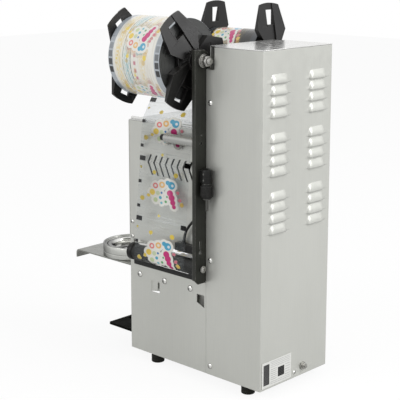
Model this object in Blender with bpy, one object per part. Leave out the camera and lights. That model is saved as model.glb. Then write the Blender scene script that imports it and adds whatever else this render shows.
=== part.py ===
"""Cup sealing machine with a film supply roll, a take-up roll and a sliding cup tray.

Lengths in the constants are millimetres.  x is measured across the machine from its mid-plane,
s forward from the rear cover's outer face, z up from the underside of the steel case.
World axes: +X the operator's right as the supply roll's side, +Y the rear, +Z up, floor at 0.
"""
import bpy
import bmesh
import math

from mathutils import Matrix, Vector

for ob in list(bpy.data.objects):
    bpy.data.objects.remove(ob, do_unlink=True)

MM = 0.001
GAP = 0.4                 # clearance between fitted pieces
FOOT_H = 18.0             # rubber feet under the case

# Case
HALF_W = 102.0            # half width of the case
SHEET = 1.5               # case sheet
LID_T = 1.6               # top plate and head cover
TOWER_D = 140.0           # depth of the rear tower
PANEL_T = 1.6             # inner panel
PANEL_F = TOWER_D - 0.2   # its front face
PANEL_S = PANEL_F - PANEL_T

# Film and roll station, from the tower forward
FILM_BACK, FILM_W = 34.5, 140.5
ROLL_S = (TOWER_D + FILM_BACK, TOWER_D + FILM_BACK + FILM_W)
SEAL_S = (ROLL_S[0] + ROLL_S[1]) / 2.0
HEAD_FRONT = 40.0
HEAD_D = ROLL_S[1] + HEAD_FRONT                # front of the side panels

# Cup ring and tray
SEAT_IN, SEAT_WALL, RING_WALL = 44.5, 11.4, 9.5
RING_IN = SEAT_IN + SEAT_WALL + 0.1
RING_R = RING_IN + GAP + RING_WALL + 0.1
RING_H = 25.6
TRAY_Z, TRAY_T = 161.0, 3.0
TRAY_HALF = RING_R - 1.5
RING_LOW = TRAY_Z + TRAY_T + GAP
RING_TOP = RING_LOW + RING_H
RING_OUT = 102.0                               # ring's centre in front of the side panels
RING_S = HEAD_D + RING_OUT
TRAY_NOSE, TRAY_TAIL, ARM_LEN, ARM_W = 118.0, 95.0, 72.0, 12.5
LIP_R, LIP_DROP = 9.0, 19.0
TRAY_TRAVEL = RING_S - SEAL_S

# Film level and the stack of the sealing head above it
FILM_OVER, FILM_T = 9.65, 0.5
FILM_CLEAR = GAP + FILM_T / 2.0                 # the film's centre line to a roller
FILM_Z = RING_TOP + FILM_OVER
ROLLER_R, CAP_R, SLEEVE_R = 15.2, 17.6, 16.4
ROLLER_X, ROLLER_Z = HALF_W + 11.0, FILM_Z + FILM_CLEAR + ROLLER_R
SLOT_UNDER, SLOT_OVER, SLOT_REAR, SLOT_FRONT = 11.65, 3.9, 8.6, 10.0
SLOT_Z = (FILM_Z - SLOT_UNDER, ROLLER_Z + CAP_R + SLOT_OVER)
SLOT_S = (TOWER_D + SLOT_REAR, HEAD_D - SLOT_FRONT)
SEAL_GAP, CUTTER_H, HEATER_H, BLOCK_H = 15.35, 4.0, 13.0, 23.6
CUTTER_R, HEATER_WALL = SEAT_IN + 7.5, 6.0
CARRIAGE_Z = FILM_Z + SEAL_GAP + CUTTER_H + HEATER_H + BLOCK_H + GAP
CARRIAGE_T, CARRIAGE_D, COLUMN_R, COLUMN_IN = 8.0, 110.0, 6.0, 24.0
HEAD_TRAVEL, BRIDGE_UP, BRIDGE_T = 14.0, 36.0, 4.0
BRIDGE_Z = CARRIAGE_Z + CARRIAGE_T + BRIDGE_UP
MOTOR_BOX, MOTOR_BOX_H, MOTOR_R, MOTOR_H, HEAD_ROOM = 30.0, 40.6, 24.0, 65.0, 74.0
MOTOR_TOP = BRIDGE_Z + BRIDGE_T + GAP + MOTOR_BOX_H + MOTOR_H
HEAD_H = MOTOR_TOP + HEAD_ROOM                 # top of the side panels

# Reels over the head
PETAL_R, DISC_R, DISC_T, HUB_T = 98.0, 36.0, 8.0, 22.0
ARM_T, ARM_TIP_T = HUB_T - 1.0, 2.5             # arm's height at the hub and at its tip
SUPPLY_R, TAKEUP_R, CORE_R, SHAFT_R = 78.0, 43.0, 18.0, 6.0
REEL_CLEAR = 38.0                              # petal tips over the head
REEL_APART = 16.0                              # petal tips to the mid-plane
AXIS_X, AXIS_Z = PETAL_R + REEL_APART, HEAD_H + REEL_CLEAR + PETAL_R
SUPPLY_PHASE, TAKEUP_PHASE = 55.2, 90.0
TOWER_OVER = 27.0
TOWER_H = AXIS_Z + TOWER_OVER                  # height of the rear tower over the case's underside
NOTCH_W, NOTCH_S, NOTCH_H = 10.0, 21.0, 42.0   # notch in the tower's front top corners
WASHER_R, NOTCH_ROOM = 13.0, 9.0               # washer on the supply shaft, and its room in the notch
NOTCH_X = min(HALF_W - NOTCH_W, AXIS_X - WASHER_R - NOTCH_ROOM)

MID_X = 8.0                                    # the far petals reach further than the near ones
REAR_Y = (RING_S + TRAY_NOSE - 7.0) / 2.0      # so that the whole part is centred on the origin

# Louvres and vents
LOUVRE_W, LOUVRE_EDGE = 49.0, 21.5
LOUVRE_FIRST, LOUVRE_GROUP, LOUVRE_GROUPS, LOUVRE_ROWS = 45.0, 109.5, 3, 4
LOUVRE_PITCH, LOUVRE_H, LOUVRE_OUT, LOUVRE_WALL = 21.0, 17.5, 4.5, 1.3
CHEVRON_COUNT, CHEVRON_REAR, CHEVRON_PITCH = 8, 13.5, 16.3
CHEVRON_DROP, CHEVRON_UPPER, CHEVRON_LOWER, CHEVRON_W = 64.0, 15.5, 25.5, 4.6
TAB_W, TAB_H, TAB_DROP, TAB_FRONT = 23.0, 23.0, 30.0, 62.0

# Film guides at the head's top
BAR_R = 3.6
LID_TOP = HEAD_H + GAP + LID_T
BAR_X, BAR_Z = HALF_W - BAR_R - 0.1, LID_TOP + BAR_R - 0.8
GUIDE_R, GUIDE_OUT, GUIDE_DROP, GUIDE_LEN = 9.3, 14.0, 21.0, 101.0
GUIDE_X, GUIDE_Z = HALF_W + GUIDE_OUT, HEAD_H - GUIDE_DROP

# Roll posts
POST_T, POST_LIP, POST_TOP_R = 3.0, 8.0, 20.0
POST_S = TOWER_D + 0.2
POST_OUT, POST_IN, POST_LOW = AXIS_X + 18.0, HALF_W - 32.0, SLOT_Z[0] - 1.0
REAR_EDGE = POST_S + POST_T + 1.1              # rear edge of the side panels above the post's foot

STEEL = ("steel", (0.55, 0.55, 0.53), 0.9, 0.35)
BLACK = ("black_plastic", (0.02, 0.02, 0.02), 0.0, 0.45)
PAINT = ("dark_paint", (0.06, 0.06, 0.055), 0.2, 0.5)
CHROME = ("bright_metal", (0.75, 0.75, 0.75), 1.0, 0.15)
RUBBER = ("rubber", (0.02, 0.02, 0.02), 0.0, 0.8)
FILM = ("film", (0.85, 0.84, 0.78), 0.0, 0.15)
ALLOY = ("alloy", (0.6, 0.6, 0.6), 0.9, 0.4)
BOARD = ("board", (0.03, 0.2, 0.08), 0.0, 0.5)
LABEL = ("label", (0.8, 0.8, 0.8), 0.2, 0.4)
LENS = ("lens", (0.05, 0.02, 0.02), 0.0, 0.1)
GREEN = ("green_button", (0.05, 0.4, 0.1), 0.0, 0.4)
RED = ("red_button", (0.5, 0.03, 0.02), 0.0, 0.4)


def place(x, s, z):
    return ((MID_X + x) * MM, (REAR_Y - s) * MM, (FOOT_H + z) * MM)


def finish(bm, name, look, at=None):
    """Turn a bmesh in millimetre coordinates (x, s, z) into a named object with its origin at a
    point of the same coordinates, or at its middle.  A piece with no look is a hidden cutter."""
    for v in bm.verts:
        v.co = place(*v.co)
    bmesh.ops.remove_doubles(bm, verts=bm.verts, dist=0.000002)
    bmesh.ops.recalc_face_normals(bm, faces=bm.faces)
    corners = [[f(v.co[i] for v in bm.verts) for i in range(3)] for f in (min, max)]
    origin = Vector(place(*at)) if at else (Vector(corners[0]) + Vector(corners[1])) / 2.0
    bmesh.ops.translate(bm, verts=bm.verts, vec=-origin)
    mesh = bpy.data.meshes.new(name)
    bm.to_mesh(mesh)
    bm.free()
    mesh.shade_smooth()
    mesh.set_sharp_from_angle(angle=math.radians(35))
    ob = bpy.data.objects.new(name, mesh)
    ob.location = origin
    bpy.context.scene.collection.objects.link(ob)
    if look is None:
        ob.hide_render = True
        ob.display_type = "WIRE"
    else:
        mesh.materials.append(material(name, look))
    return ob


def material(name, look):
    title, colour, metallic, rough = look
    mat = bpy.data.materials.new(f"{name}_{title}")
    mat.use_nodes = True
    shader = mat.node_tree.nodes["Principled BSDF"]
    shader.inputs["Base Color"].default_value = (*colour, 1.0)
    shader.inputs["Metallic"].default_value = metallic
    shader.inputs["Roughness"].default_value = rough
    return mat


def add_box(bm, x, s, z):
    """Box from x[0] to x[1], s[0] to s[1] and z[0] to z[1]."""
    middle = Vector(((a + b) / 2.0 for a, b in (x, s, z)))
    size = [abs(b - a) for a, b in (x, s, z)]
    bmesh.ops.create_cube(bm, size=1.0, matrix=Matrix.Translation(middle) @ Matrix.Diagonal((*size, 1.0)))


def add_prism(bm, outline, axis, low, high):
    """Extrude a closed outline of (a, b) pairs along x (a=s, b=z), s (a=x, b=z) or z (a=x, b=s)."""
    at = {"x": lambda a, b: (low, a, b), "s": lambda a, b: (a, low, b), "z": lambda a, b: (a, b, low)}[axis]
    run = {"x": (high - low, 0, 0), "s": (0, high - low, 0), "z": (0, 0, high - low)}[axis]
    face = bm.faces.new([bm.verts.new(at(a, b)) for a, b in outline])
    made = bmesh.ops.extrude_face_region(bm, geom=[face], use_keep_orig=True)
    bmesh.ops.translate(bm, verts=[v for v in made["geom"] if isinstance(v, bmesh.types.BMVert)], vec=run)


def add_lathe(bm, profile, axis, at, steps=32):
    """Spin (radius, height) pairs about an axis; a profile that starts and ends at radius 0 is
    closed by the axis, and any other profile is closed back to its first pair."""
    spot = {"s": lambda r, h: (at[0] + r, h, at[1]), "z": lambda r, h: (at[0] + r, at[1], h)}[axis]
    centre = {"s": (at[0], 0, at[1]), "z": (at[0], at[1], 0)}[axis]
    verts = [bm.verts.new(spot(r, h)) for r, h in profile]
    edges = [bm.edges.new(pair) for pair in zip(verts, verts[1:])]
    if profile[0][0] != 0 or profile[-1][0] != 0:
        edges.append(bm.edges.new((verts[-1], verts[0])))
    made = bmesh.ops.spin(bm, geom=verts + edges, cent=centre, axis={"s": (0, 1, 0), "z": (0, 0, 1)}[axis],
                          angle=math.tau, steps=steps, use_merge=True)
    new = {v for e in made["geom_last"] for v in (e.verts if isinstance(e, bmesh.types.BMEdge) else [])}
    bmesh.ops.remove_doubles(bm, verts=list(new | set(v for v in bm.verts if v.is_valid)), dist=0.0005)


def add_rod(bm, axis, at, r, low, high, steps=24):
    add_lathe(bm, [(0, low), (r, low), (r, high), (0, high)], axis, at, steps)


def add_tube(bm, axis, at, r_in, r_out, low, high, steps=32):
    add_lathe(bm, [(r_in, low), (r_out, low), (r_out, high), (r_in, high)], axis, at, steps)


def wire(name, look, points, r, sides=2):
    """Round wire or cable along (x, s, z) points: a curve with a round bevel and filled ends."""
    curve = bpy.data.curves.new(name, "CURVE")
    curve.dimensions = "3D"
    curve.bevel_depth, curve.bevel_resolution, curve.use_fill_caps = r * MM, sides, True
    line = curve.splines.new("POLY")
    line.points.add(len(points) - 1)
    origin = Vector(place(*points[0]))
    for spot, p in zip(line.points, points):
        spot.co = (*(Vector(place(*p)) - origin), 1.0)
    curve.materials.append(material(name, look))
    ob = bpy.data.objects.new(name, curve)
    ob.location = origin
    bpy.context.scene.collection.objects.link(ob)
    return ob


def cut(ob, fill):
    """Cut one object with a mesh that fill builds from separate solids."""
    bm = bmesh.new()
    fill(bm)
    tool = finish(bm, f"{ob.name}_cutter", None)
    mod = ob.modifiers.new("openings", "BOOLEAN")
    mod.operation, mod.solver, mod.object = "DIFFERENCE", "EXACT", tool


def join(ob, fill, label="added"):
    """Add one mesh of separate solids, each overlapping the object, to the object."""
    bm = bmesh.new()
    fill(bm)
    tool = finish(bm, f"{ob.name}_{label}", None)
    mod = ob.modifiers.new(label, "BOOLEAN")
    mod.operation, mod.solver, mod.object = "UNION", "EXACT", tool


def piece(name, look, fill, at=None):
    bm = bmesh.new()
    fill(bm)
    return finish(bm, name, look, at)


def both(name, look, fill, at=None):
    """The same piece on the +X side and mirrored on the -X side."""
    return [piece(f"{name}_{side}", look, lambda bm, k=k: fill(bm, k), at and (k * at[0], at[1], at[2]))
            for side, k in (("right", 1), ("left", -1))]


def span(k, a, b):
    return tuple(sorted((k * a, k * b)))


# Folded cover of the rear tower: one sheet bent round the back and both sides.
cover = piece("rear_cover", STEEL, lambda bm: add_box(
    bm, (-HALF_W, HALF_W), (0, TOWER_D), (0, TOWER_H - LID_T - GAP)))
INNER_W = HALF_W - SHEET


def hood(bm, x0, x1, top, out, inset, deep, drop):
    """Louvre hood: widest and furthest out at its lower edge, drawn back into the sheet above."""
    x0, x1, top = x0 + inset, x1 - inset, top - inset
    low = top - LOUVRE_H + inset - drop
    mid = low + (top - low) * 0.55
    back = [(x0, low), (x0 + 1.2, mid), (x0 + 5, top), (x1 - 5, top), (x1 - 1.2, mid), (x1, low)]
    front = [(x0 + 5, low, out), (x0 + 6, mid, out * 0.78), (x1 - 6, mid, out * 0.78), (x1 - 5, low, out)]
    root = [bm.verts.new((x, deep, z)) for x, z in back]
    face = [bm.verts.new((x, 0.0, z)) for x, z in back]
    tip = [bm.verts.new((x, -o, z)) for x, z, o in front]
    bm.faces.new(list(reversed(root)))
    for i in range(5):
        bm.faces.new((root[i], root[i + 1], face[i + 1], face[i]))
    bm.faces.new((root[5], root[0], face[0], tip[0], tip[3], face[5]))
    bm.faces.new((face[0], face[1], tip[1], tip[0]))
    bm.faces.new((face[1], face[2], tip[1]))
    bm.faces.new((face[2], face[3], tip[2], tip[1]))
    bm.faces.new((face[3], face[4], tip[2]))
    bm.faces.new((face[4], face[5], tip[3], tip[2]))
    bm.faces.new((tip[0], tip[1], tip[2], tip[3]))


def each_louvre():
    for x0 in (HALF_W - LOUVRE_EDGE - LOUVRE_W, -HALF_W + LOUVRE_EDGE):
        for group in range(LOUVRE_GROUPS):
            for row in range(LOUVRE_ROWS):
                yield x0, x0 + LOUVRE_W, TOWER_H - LOUVRE_FIRST - group * LOUVRE_GROUP - row * LOUVRE_PITCH


def cover_hoods(bm):
    for x0, x1, top in each_louvre():
        hood(bm, x0, x1, top, LOUVRE_OUT, 0.0, SHEET / 2, 0.0)


# Power inlet and rocker switch in the -X side.
INLET_S, INLET_Z, INLET_HALF, INLET_HALF_H = 64.0, 58.0, 14.0, 12.0
SWITCH_Z, SWITCH_HALF, SWITCH_HALF_H = 95.0, 12.0, 8.0


def cover_openings(bm):
    for x0, x1, top in each_louvre():
        hood(bm, x0, x1, top, LOUVRE_OUT - LOUVRE_WALL, LOUVRE_WALL + 0.1, SHEET * 4, LOUVRE_WALL + 0.1)
    for k in (1, -1):
        add_box(bm, span(k, NOTCH_X, HALF_W + 5), (TOWER_D - NOTCH_S, TOWER_D + 5),
                (TOWER_H - NOTCH_H, TOWER_H + 5))
    wall = (-HALF_W - 5, -HALF_W + 5)
    add_box(bm, wall, (INLET_S - INLET_HALF, INLET_S + INLET_HALF), (INLET_Z - INLET_HALF_H, INLET_Z + INLET_HALF_H))
    add_box(bm, wall, (INLET_S - SWITCH_HALF, INLET_S + SWITCH_HALF),
            (SWITCH_Z - SWITCH_HALF_H, SWITCH_Z + SWITCH_HALF_H))


cut(cover, lambda bm: add_box(bm, (-INNER_W, INNER_W), (SHEET, TOWER_D + 5), (-5, TOWER_H + 5)))
join(cover, cover_hoods)
cut(cover, cover_openings)

# Separate bright top plate of the tower, with the same corner notches as the cover.
notch_x, notch_s = NOTCH_X, TOWER_D - NOTCH_S
piece("top_plate", STEEL, lambda bm: add_prism(bm, [
    (-notch_x, TOWER_D), (-notch_x, notch_s), (-HALF_W, notch_s), (-HALF_W, 0), (HALF_W, 0), (HALF_W, notch_s),
    (notch_x, notch_s), (notch_x, TOWER_D)], "z", TOWER_H - LID_T, TOWER_H))

# Inner panel that closes the tower's front, notched like the cover, with slots for the tray's arms.
BASE_T = 2.0
panel_low, panel_high = BASE_T + GAP, TOWER_H - LID_T - GAP
panel_x, panel_notch = INNER_W - GAP, TOWER_H - NOTCH_H - GAP
inner = piece("inner_panel", STEEL, lambda bm: add_prism(bm, [
    (-panel_x, panel_low), (panel_x, panel_low), (panel_x, panel_notch), (notch_x - GAP, panel_notch),
    (notch_x - GAP, panel_high), (-notch_x + GAP, panel_high), (-notch_x + GAP, panel_notch),
    (-panel_x, panel_notch)], "s", PANEL_S, PANEL_F))
cut(inner, lambda bm: [add_box(bm, span(k, TRAY_HALF - ARM_W - 3, TRAY_HALF + 3), (PANEL_S - 5, PANEL_F + 5),
                               (TRAY_Z - 3, TRAY_Z + TRAY_T + 3)) for k in (1, -1)])

# Base plate of the whole case, with a row of vents under the tower.
BASE_VENTS, BASE_VENT_PITCH, BASE_VENT_W, BASE_VENT_HALF, BASE_VENT_IN = 6, 14.0, 6.0, 60.0, 108.0
base = piece("base_plate", STEEL, lambda bm: add_box(
    bm, (-INNER_W + GAP, INNER_W - GAP), (SHEET + GAP, HEAD_D - SHEET - GAP), (0, BASE_T)))
vent_s = PANEL_S - BASE_VENT_IN
cut(base, lambda bm: [add_box(bm, (-BASE_VENT_HALF, BASE_VENT_HALF),
                              (vent_s + BASE_VENT_PITCH * i, vent_s + BASE_VENT_PITCH * i + BASE_VENT_W),
                              (-5, BASE_T + 5)) for i in range(BASE_VENTS)])

# Side panels in front of the tower: chevron vents, film slot, hook tab and cable cut-out.
FLANGE_W = 11.0
CUTOUT_W, CUTOUT_H, CUTOUT_SLOPE = 20.0, 25.0, 8.0


def side_panel(bm, k):
    foot = POST_LOW - 2
    add_prism(bm, [(TOWER_D + GAP, 0), (HEAD_D, 0), (HEAD_D, HEAD_H), (REAR_EDGE, HEAD_H), (REAR_EDGE, foot),
                   (TOWER_D + GAP, foot)], "x", *span(k, INNER_W, HALF_W))


def side_flange(bm, k):
    add_box(bm, span(k, HALF_W - FLANGE_W, HALF_W - SHEET / 3), (HEAD_D - SHEET, HEAD_D), (BASE_T + GAP, HEAD_H))


def side_openings(bm, k):
    wall = span(k, HALF_W - 6, HALF_W + 5)
    top = HEAD_H - CHEVRON_DROP
    mid, low = top - CHEVRON_UPPER, top - CHEVRON_UPPER - CHEVRON_LOWER
    for i in range(CHEVRON_COUNT):
        v = ROLL_S[0] + CHEVRON_REAR + i * CHEVRON_PITCH
        add_prism(bm, [(v, mid), (v - 8, top), (v - 8 - CHEVRON_W, top), (v - CHEVRON_W, mid),
                       (v - 12 - CHEVRON_W, low), (v - 12, low)], "x", *wall)
    add_box(bm, wall, SLOT_S, SLOT_Z)
    s1, z1 = HEAD_D - TAB_FRONT, SLOT_Z[0] - TAB_DROP
    s0, z0 = s1 - TAB_W, z1 - TAB_H
    add_prism(bm, [(s0, z0), (s1, z0), (s1, z1), (s1 - 5, z1), (s1 - 5, z0 + 6), (s0 + 5, z0 + 6), (s0 + 5, z1),
                   (s0, z1)], "x", *wall)
    if k > 0:
        s2 = REAR_EDGE + 0.7
        add_prism(bm, [(s2, z1 - CUTOUT_H), (s2 + CUTOUT_W, z1 - CUTOUT_H + CUTOUT_SLOPE), (s2 + CUTOUT_W, z1),
                       (s2, z1)], "x", *wall)


for ob, k in zip(both("side_panel", STEEL, side_panel), (1, -1)):
    join(ob, lambda bm, k=k: side_flange(bm, k), "flange")
    cut(ob, lambda bm, k=k: side_openings(bm, k))

# Top cover of the head, with the two rounded edges that the film slides over.
lid = piece("head_top_cover", STEEL, lambda bm: add_box(
    bm, (-HALF_W, HALF_W), (REAR_EDGE, HEAD_D), (HEAD_H + GAP, LID_TOP)))
join(lid, lambda bm: [add_rod(bm, "s", (k * BAR_X, BAR_Z), BAR_R, REAR_EDGE + 3, HEAD_D - 5, 20) for k in (1, -1)],
     "edges")

# Front fascia with its black control overlay, display window and three push buttons.
BUTTON_R, BUTTON_PITCH, BUTTON_DROP = 8.0, 34.0, 122.0
OVERLAY_T, OVERLAY_RIM, WINDOW_HALF, WINDOW_H, WINDOW_UP = 1.2, 28.0, 26.0, 28.0, 40.0
BUTTON_Z = HEAD_H - BUTTON_DROP
BUTTONS = (("start_button", GREEN, -BUTTON_PITCH), ("mode_button", BLACK, 0.0), ("stop_button", RED, BUTTON_PITCH))
fascia_s = HEAD_D + GAP
overlay_s = fascia_s + SHEET + GAP
overlay_f = overlay_s + OVERLAY_T
fascia = piece("front_fascia", STEEL, lambda bm: add_box(
    bm, (-HALF_W, HALF_W), (fascia_s, fascia_s + SHEET), (SLOT_Z[1] + 1, HEAD_H)))
overlay = piece("control_overlay", BLACK, lambda bm: add_box(
    bm, (-BUTTON_PITCH - OVERLAY_RIM, BUTTON_PITCH + OVERLAY_RIM), (overlay_s, overlay_f),
    (BUTTON_Z - OVERLAY_RIM + 2, BUTTON_Z + WINDOW_UP + WINDOW_H + 16)))


def button_holes(bm):
    for _, _, x in BUTTONS:
        add_rod(bm, "s", (x, BUTTON_Z), BUTTON_R + GAP, fascia_s - 5, overlay_f + 5, 24)


cut(fascia, button_holes)
cut(overlay, button_holes)
piece("display_window", LENS, lambda bm: add_box(
    bm, (-WINDOW_HALF, WINDOW_HALF), (overlay_f + GAP, overlay_f + GAP + OVERLAY_T),
    (BUTTON_Z + WINDOW_UP, BUTTON_Z + WINDOW_UP + WINDOW_H)))
for name, look, x in BUTTONS:
    piece(name, look, lambda bm, x=x: add_lathe(
        bm, [(0, fascia_s - 5.4), (BUTTON_R + 2, fascia_s - 5.4), (BUTTON_R + 2, fascia_s - 3.4),
             (BUTTON_R, fascia_s - 3.4), (BUTTON_R, overlay_f + 3.5), (0, overlay_f + 3.5)], "s", (x, BUTTON_Z), 24))

# Black base tray under the cup: a plate on two feet, ribbed underneath, with an open middle.
TRAY_BASE_Z, TRAY_BASE_T, BASE_INSET, BASE_FRONT = 24.0, 6.0, 16.0, 87.0
BASE_BACK, BASE_RIM, WINDOW_X = 155.0, 8.0, 40.0
base_half = HALF_W - BASE_INSET
base_s = (HEAD_D - BASE_BACK, HEAD_D + BASE_FRONT)
tray = piece("base_tray", PAINT, lambda bm: add_box(
    bm, (-base_half, base_half), base_s, (TRAY_BASE_Z, TRAY_BASE_Z + TRAY_BASE_T)))
join(tray, lambda bm: [add_box(bm, span(k, base_half - 6, base_half - 2), (base_s[0] + 4, HEAD_D - 15),
                               (BASE_T + GAP, TRAY_BASE_Z + 2)) for k in (1, -1)], "feet")
cut(tray, lambda bm: [add_box(bm, (-WINDOW_X, WINDOW_X), (HEAD_D - 55, base_s[1] - BASE_RIM), (-5, TRAY_BASE_Z + 20))]
    + [add_box(bm, span(k, WINDOW_X + 4, base_half - BASE_RIM), (base_s[0] + BASE_RIM, base_s[1] - BASE_RIM),
               (TRAY_BASE_Z - 6, TRAY_BASE_Z + 2)) for k in (1, -1)])

# Four rubber feet, each with a recessed washer seat underneath.
FOOT_R, FOOT_HOLE, FOOT_IN, FOOT_FRONT, FOOT_REAR = 13.5, 4.0, 14.0, 65.0, 45.0
FOOT = [(FOOT_HOLE, 1 - FOOT_H), (FOOT_R - 4.5, 1 - FOOT_H), (FOOT_R - 3.5, -FOOT_H), (FOOT_R - 1.1, -FOOT_H),
        (FOOT_R, 2 - FOOT_H), (FOOT_R, -4), (FOOT_R - 2.5, -GAP), (FOOT_HOLE, -GAP)]
for name, k, s, more in (("foot_front_right", 1, HEAD_D - FOOT_FRONT, 0),
                         ("foot_front_left", -1, HEAD_D - FOOT_FRONT, 0),
                         ("foot_rear_right", 1, FOOT_REAR, 4), ("foot_rear_left", -1, FOOT_REAR, 4)):
    piece(name, RUBBER, lambda bm, k=k, s=s, more=more: add_lathe(
        bm, FOOT, "z", (k * (HALF_W - FOOT_IN - more), s), 20))

# Roll posts: folded plates that carry the roll shafts, the guides and the lower rollers.
GUIDE_PIN, AXLE_R, KEY_R, KEY_UP, KEY_LEN = 3.0, 4.0, 4.2, 34.5, 22.0


def post_outline(k):
    cx = POST_OUT - POST_TOP_R
    arc = [(cx + POST_TOP_R * math.cos(math.radians(a)), AXIS_Z + POST_TOP_R * math.sin(math.radians(a)))
           for a in range(0, 181, 20)]
    pts = [(POST_OUT, POST_LOW + 8)] + arc + [(cx - POST_TOP_R, AXIS_Z - 24), (POST_IN, AXIS_Z - 50),
                                             (POST_IN, POST_LOW + 50), (HALF_W + 2, POST_LOW), (POST_OUT - 8, POST_LOW)]
    return [(k * a, b) for a, b in pts]


def post_openings(bm, k):
    low, high = POST_S - 5, POST_S + POST_LIP + 5
    add_rod(bm, "s", (k * AXIS_X, AXIS_Z), SHAFT_R + GAP, low, high, 24)
    add_rod(bm, "s", (k * GUIDE_X, GUIDE_Z), GUIDE_PIN + GAP, low, high, 12)
    add_rod(bm, "s", (k * ROLLER_X, ROLLER_Z), AXLE_R + GAP, low, high, 16)
    add_rod(bm, "s", (k * (AXIS_X + 4), ROLLER_Z + KEY_UP), KEY_R, low, high, 16)
    add_box(bm, span(k, AXIS_X + 2, AXIS_X + 6), (low, high), (ROLLER_Z + KEY_UP + 6, ROLLER_Z + KEY_UP + KEY_LEN))
    add_rod(bm, "s", (k * AXIS_X, GUIDE_Z + 15), 2.0, low, high, 12)


for ob, k in zip(both("roll_post", PAINT, lambda bm, k: add_prism(
        bm, post_outline(k), "s", POST_S, POST_S + POST_T)), (1, -1)):
    join(ob, lambda bm, k=k: add_box(bm, span(k, POST_OUT - SHEET, POST_OUT), (POST_S + 1, POST_S + POST_LIP),
                                     (POST_LOW + 8, AXIS_Z)), "lip")
    cut(ob, lambda bm, k=k: post_openings(bm, k))

# Fixed supply shaft with its nuts, and the driven take-up shaft with its gear motor.
NUT_R, NUT_S, NUT_T, WASHER_T = 11.0, 18.2, 12.0, 6.0
END_NUT_R, END_NUT_T = 16.0, 11.0
hub_end = ROLL_S[1] + GAP + HUB_T


def hexagon(x, z, r):
    return [(x + r * math.cos(math.radians(30 + 60 * i)), z + r * math.sin(math.radians(30 + 60 * i)))
            for i in range(6)]


piece("supply_shaft", CHROME, lambda bm: add_rod(
    bm, "s", (AXIS_X, AXIS_Z), SHAFT_R, POST_S - NUT_S - 6, hub_end + END_NUT_T + 2, 24))
nut = piece("supply_nut", CHROME, lambda bm: add_prism(
    bm, hexagon(AXIS_X, AXIS_Z, NUT_R), "s", POST_S - NUT_S, POST_S - NUT_S + NUT_T))
join(nut, lambda bm: add_rod(
    bm, "s", (AXIS_X, AXIS_Z), WASHER_R, POST_S - GAP - WASHER_T, POST_S - GAP, 32), "washer")
cut(nut, lambda bm: add_rod(bm, "s", (AXIS_X, AXIS_Z), SHAFT_R + GAP, POST_S - 60, POST_S + 20, 24))
piece("supply_end_nut", BLACK, lambda bm: add_tube(
    bm, "s", (AXIS_X, AXIS_Z), SHAFT_R + GAP, END_NUT_R, hub_end + GAP, hub_end + GAP + END_NUT_T, 24))

SPRING_R, SPRING_WIRE, SPRING_TURNS = 10.5, 0.8, 3
spring_low, spring_high = POST_S + POST_T + GAP + SPRING_WIRE, ROLL_S[0] - GAP - HUB_T - GAP - SPRING_WIRE
wire("supply_spring", CHROME, [
    (AXIS_X + SPRING_R * math.cos(math.tau * i / 14), spring_low + (spring_high - spring_low) * i / 14 / SPRING_TURNS,
     AXIS_Z + SPRING_R * math.sin(math.tau * i / 14)) for i in range(14 * SPRING_TURNS + 1)], SPRING_WIRE, 1)

GEAR_W, GEAR_D, GEAR_H, GEAR_BORE = 24.0, 48.0, 37.0, 22.0
gear_x = HALF_W + 1.0
gear = piece("takeup_gearmotor", BLACK, lambda bm: add_box(
    bm, (-gear_x - GEAR_W, -gear_x), (POST_S - GAP - GEAR_D, POST_S - GAP),
    (AXIS_Z - GEAR_H / 2, AXIS_Z + GEAR_H / 2)))
cut(gear, lambda bm: add_rod(bm, "s", (-AXIS_X, AXIS_Z), SHAFT_R + GAP, POST_S - GEAR_BORE, POST_S + 20, 24))
piece("takeup_shaft", CHROME, lambda bm: add_rod(
    bm, "s", (-AXIS_X, AXIS_Z), SHAFT_R, POST_S - GEAR_BORE + 2, hub_end + END_NUT_T + 2, 24))

# Rolls of film and the three-armed flanges that hold them.
for name, k, r in (("supply_roll", 1, SUPPLY_R), ("takeup_roll", -1, TAKEUP_R)):
    piece(name, FILM, lambda bm, k=k, r=r: add_tube(
        bm, "s", (k * AXIS_X, AXIS_Z), CORE_R, r, *ROLL_S, 52), at=(k * AXIS_X, ROLL_S[0], AXIS_Z))

ARM_HUB, ARM_WIDE, ARM_MID, ARM_SWEEP = 10.0, 40.0, 35.0, 16.5
ARM_WIDE_AT, ARM_MID_AT = 44.7, 65.5
ARM_TIP, ARM_SLOT, ARM_SLOT_W = 15.0, 28.0, 18.6     # one slot in each arm: from its tip, long, wide


def turned(angle, r, w):
    """Point at r along a spoke at that angle and w across it."""
    a = math.radians(angle)
    return r * math.cos(a) - w * math.sin(a), r * math.sin(a) + w * math.cos(a)


def arm_outline(angle):
    """One arm: it spreads from the hub and narrows again to a curved tip beyond the roll."""
    half = [(0, ARM_HUB), (ARM_WIDE_AT, ARM_WIDE), (ARM_MID_AT, ARM_MID)]
    pts = [turned(angle, r, -w) for r, w in half]
    pts += [turned(angle + ARM_SWEEP * i / 3.0, PETAL_R, 0) for i in range(-3, 4)]
    return pts + [turned(angle, r, w) for r, w in reversed(half)]


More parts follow.
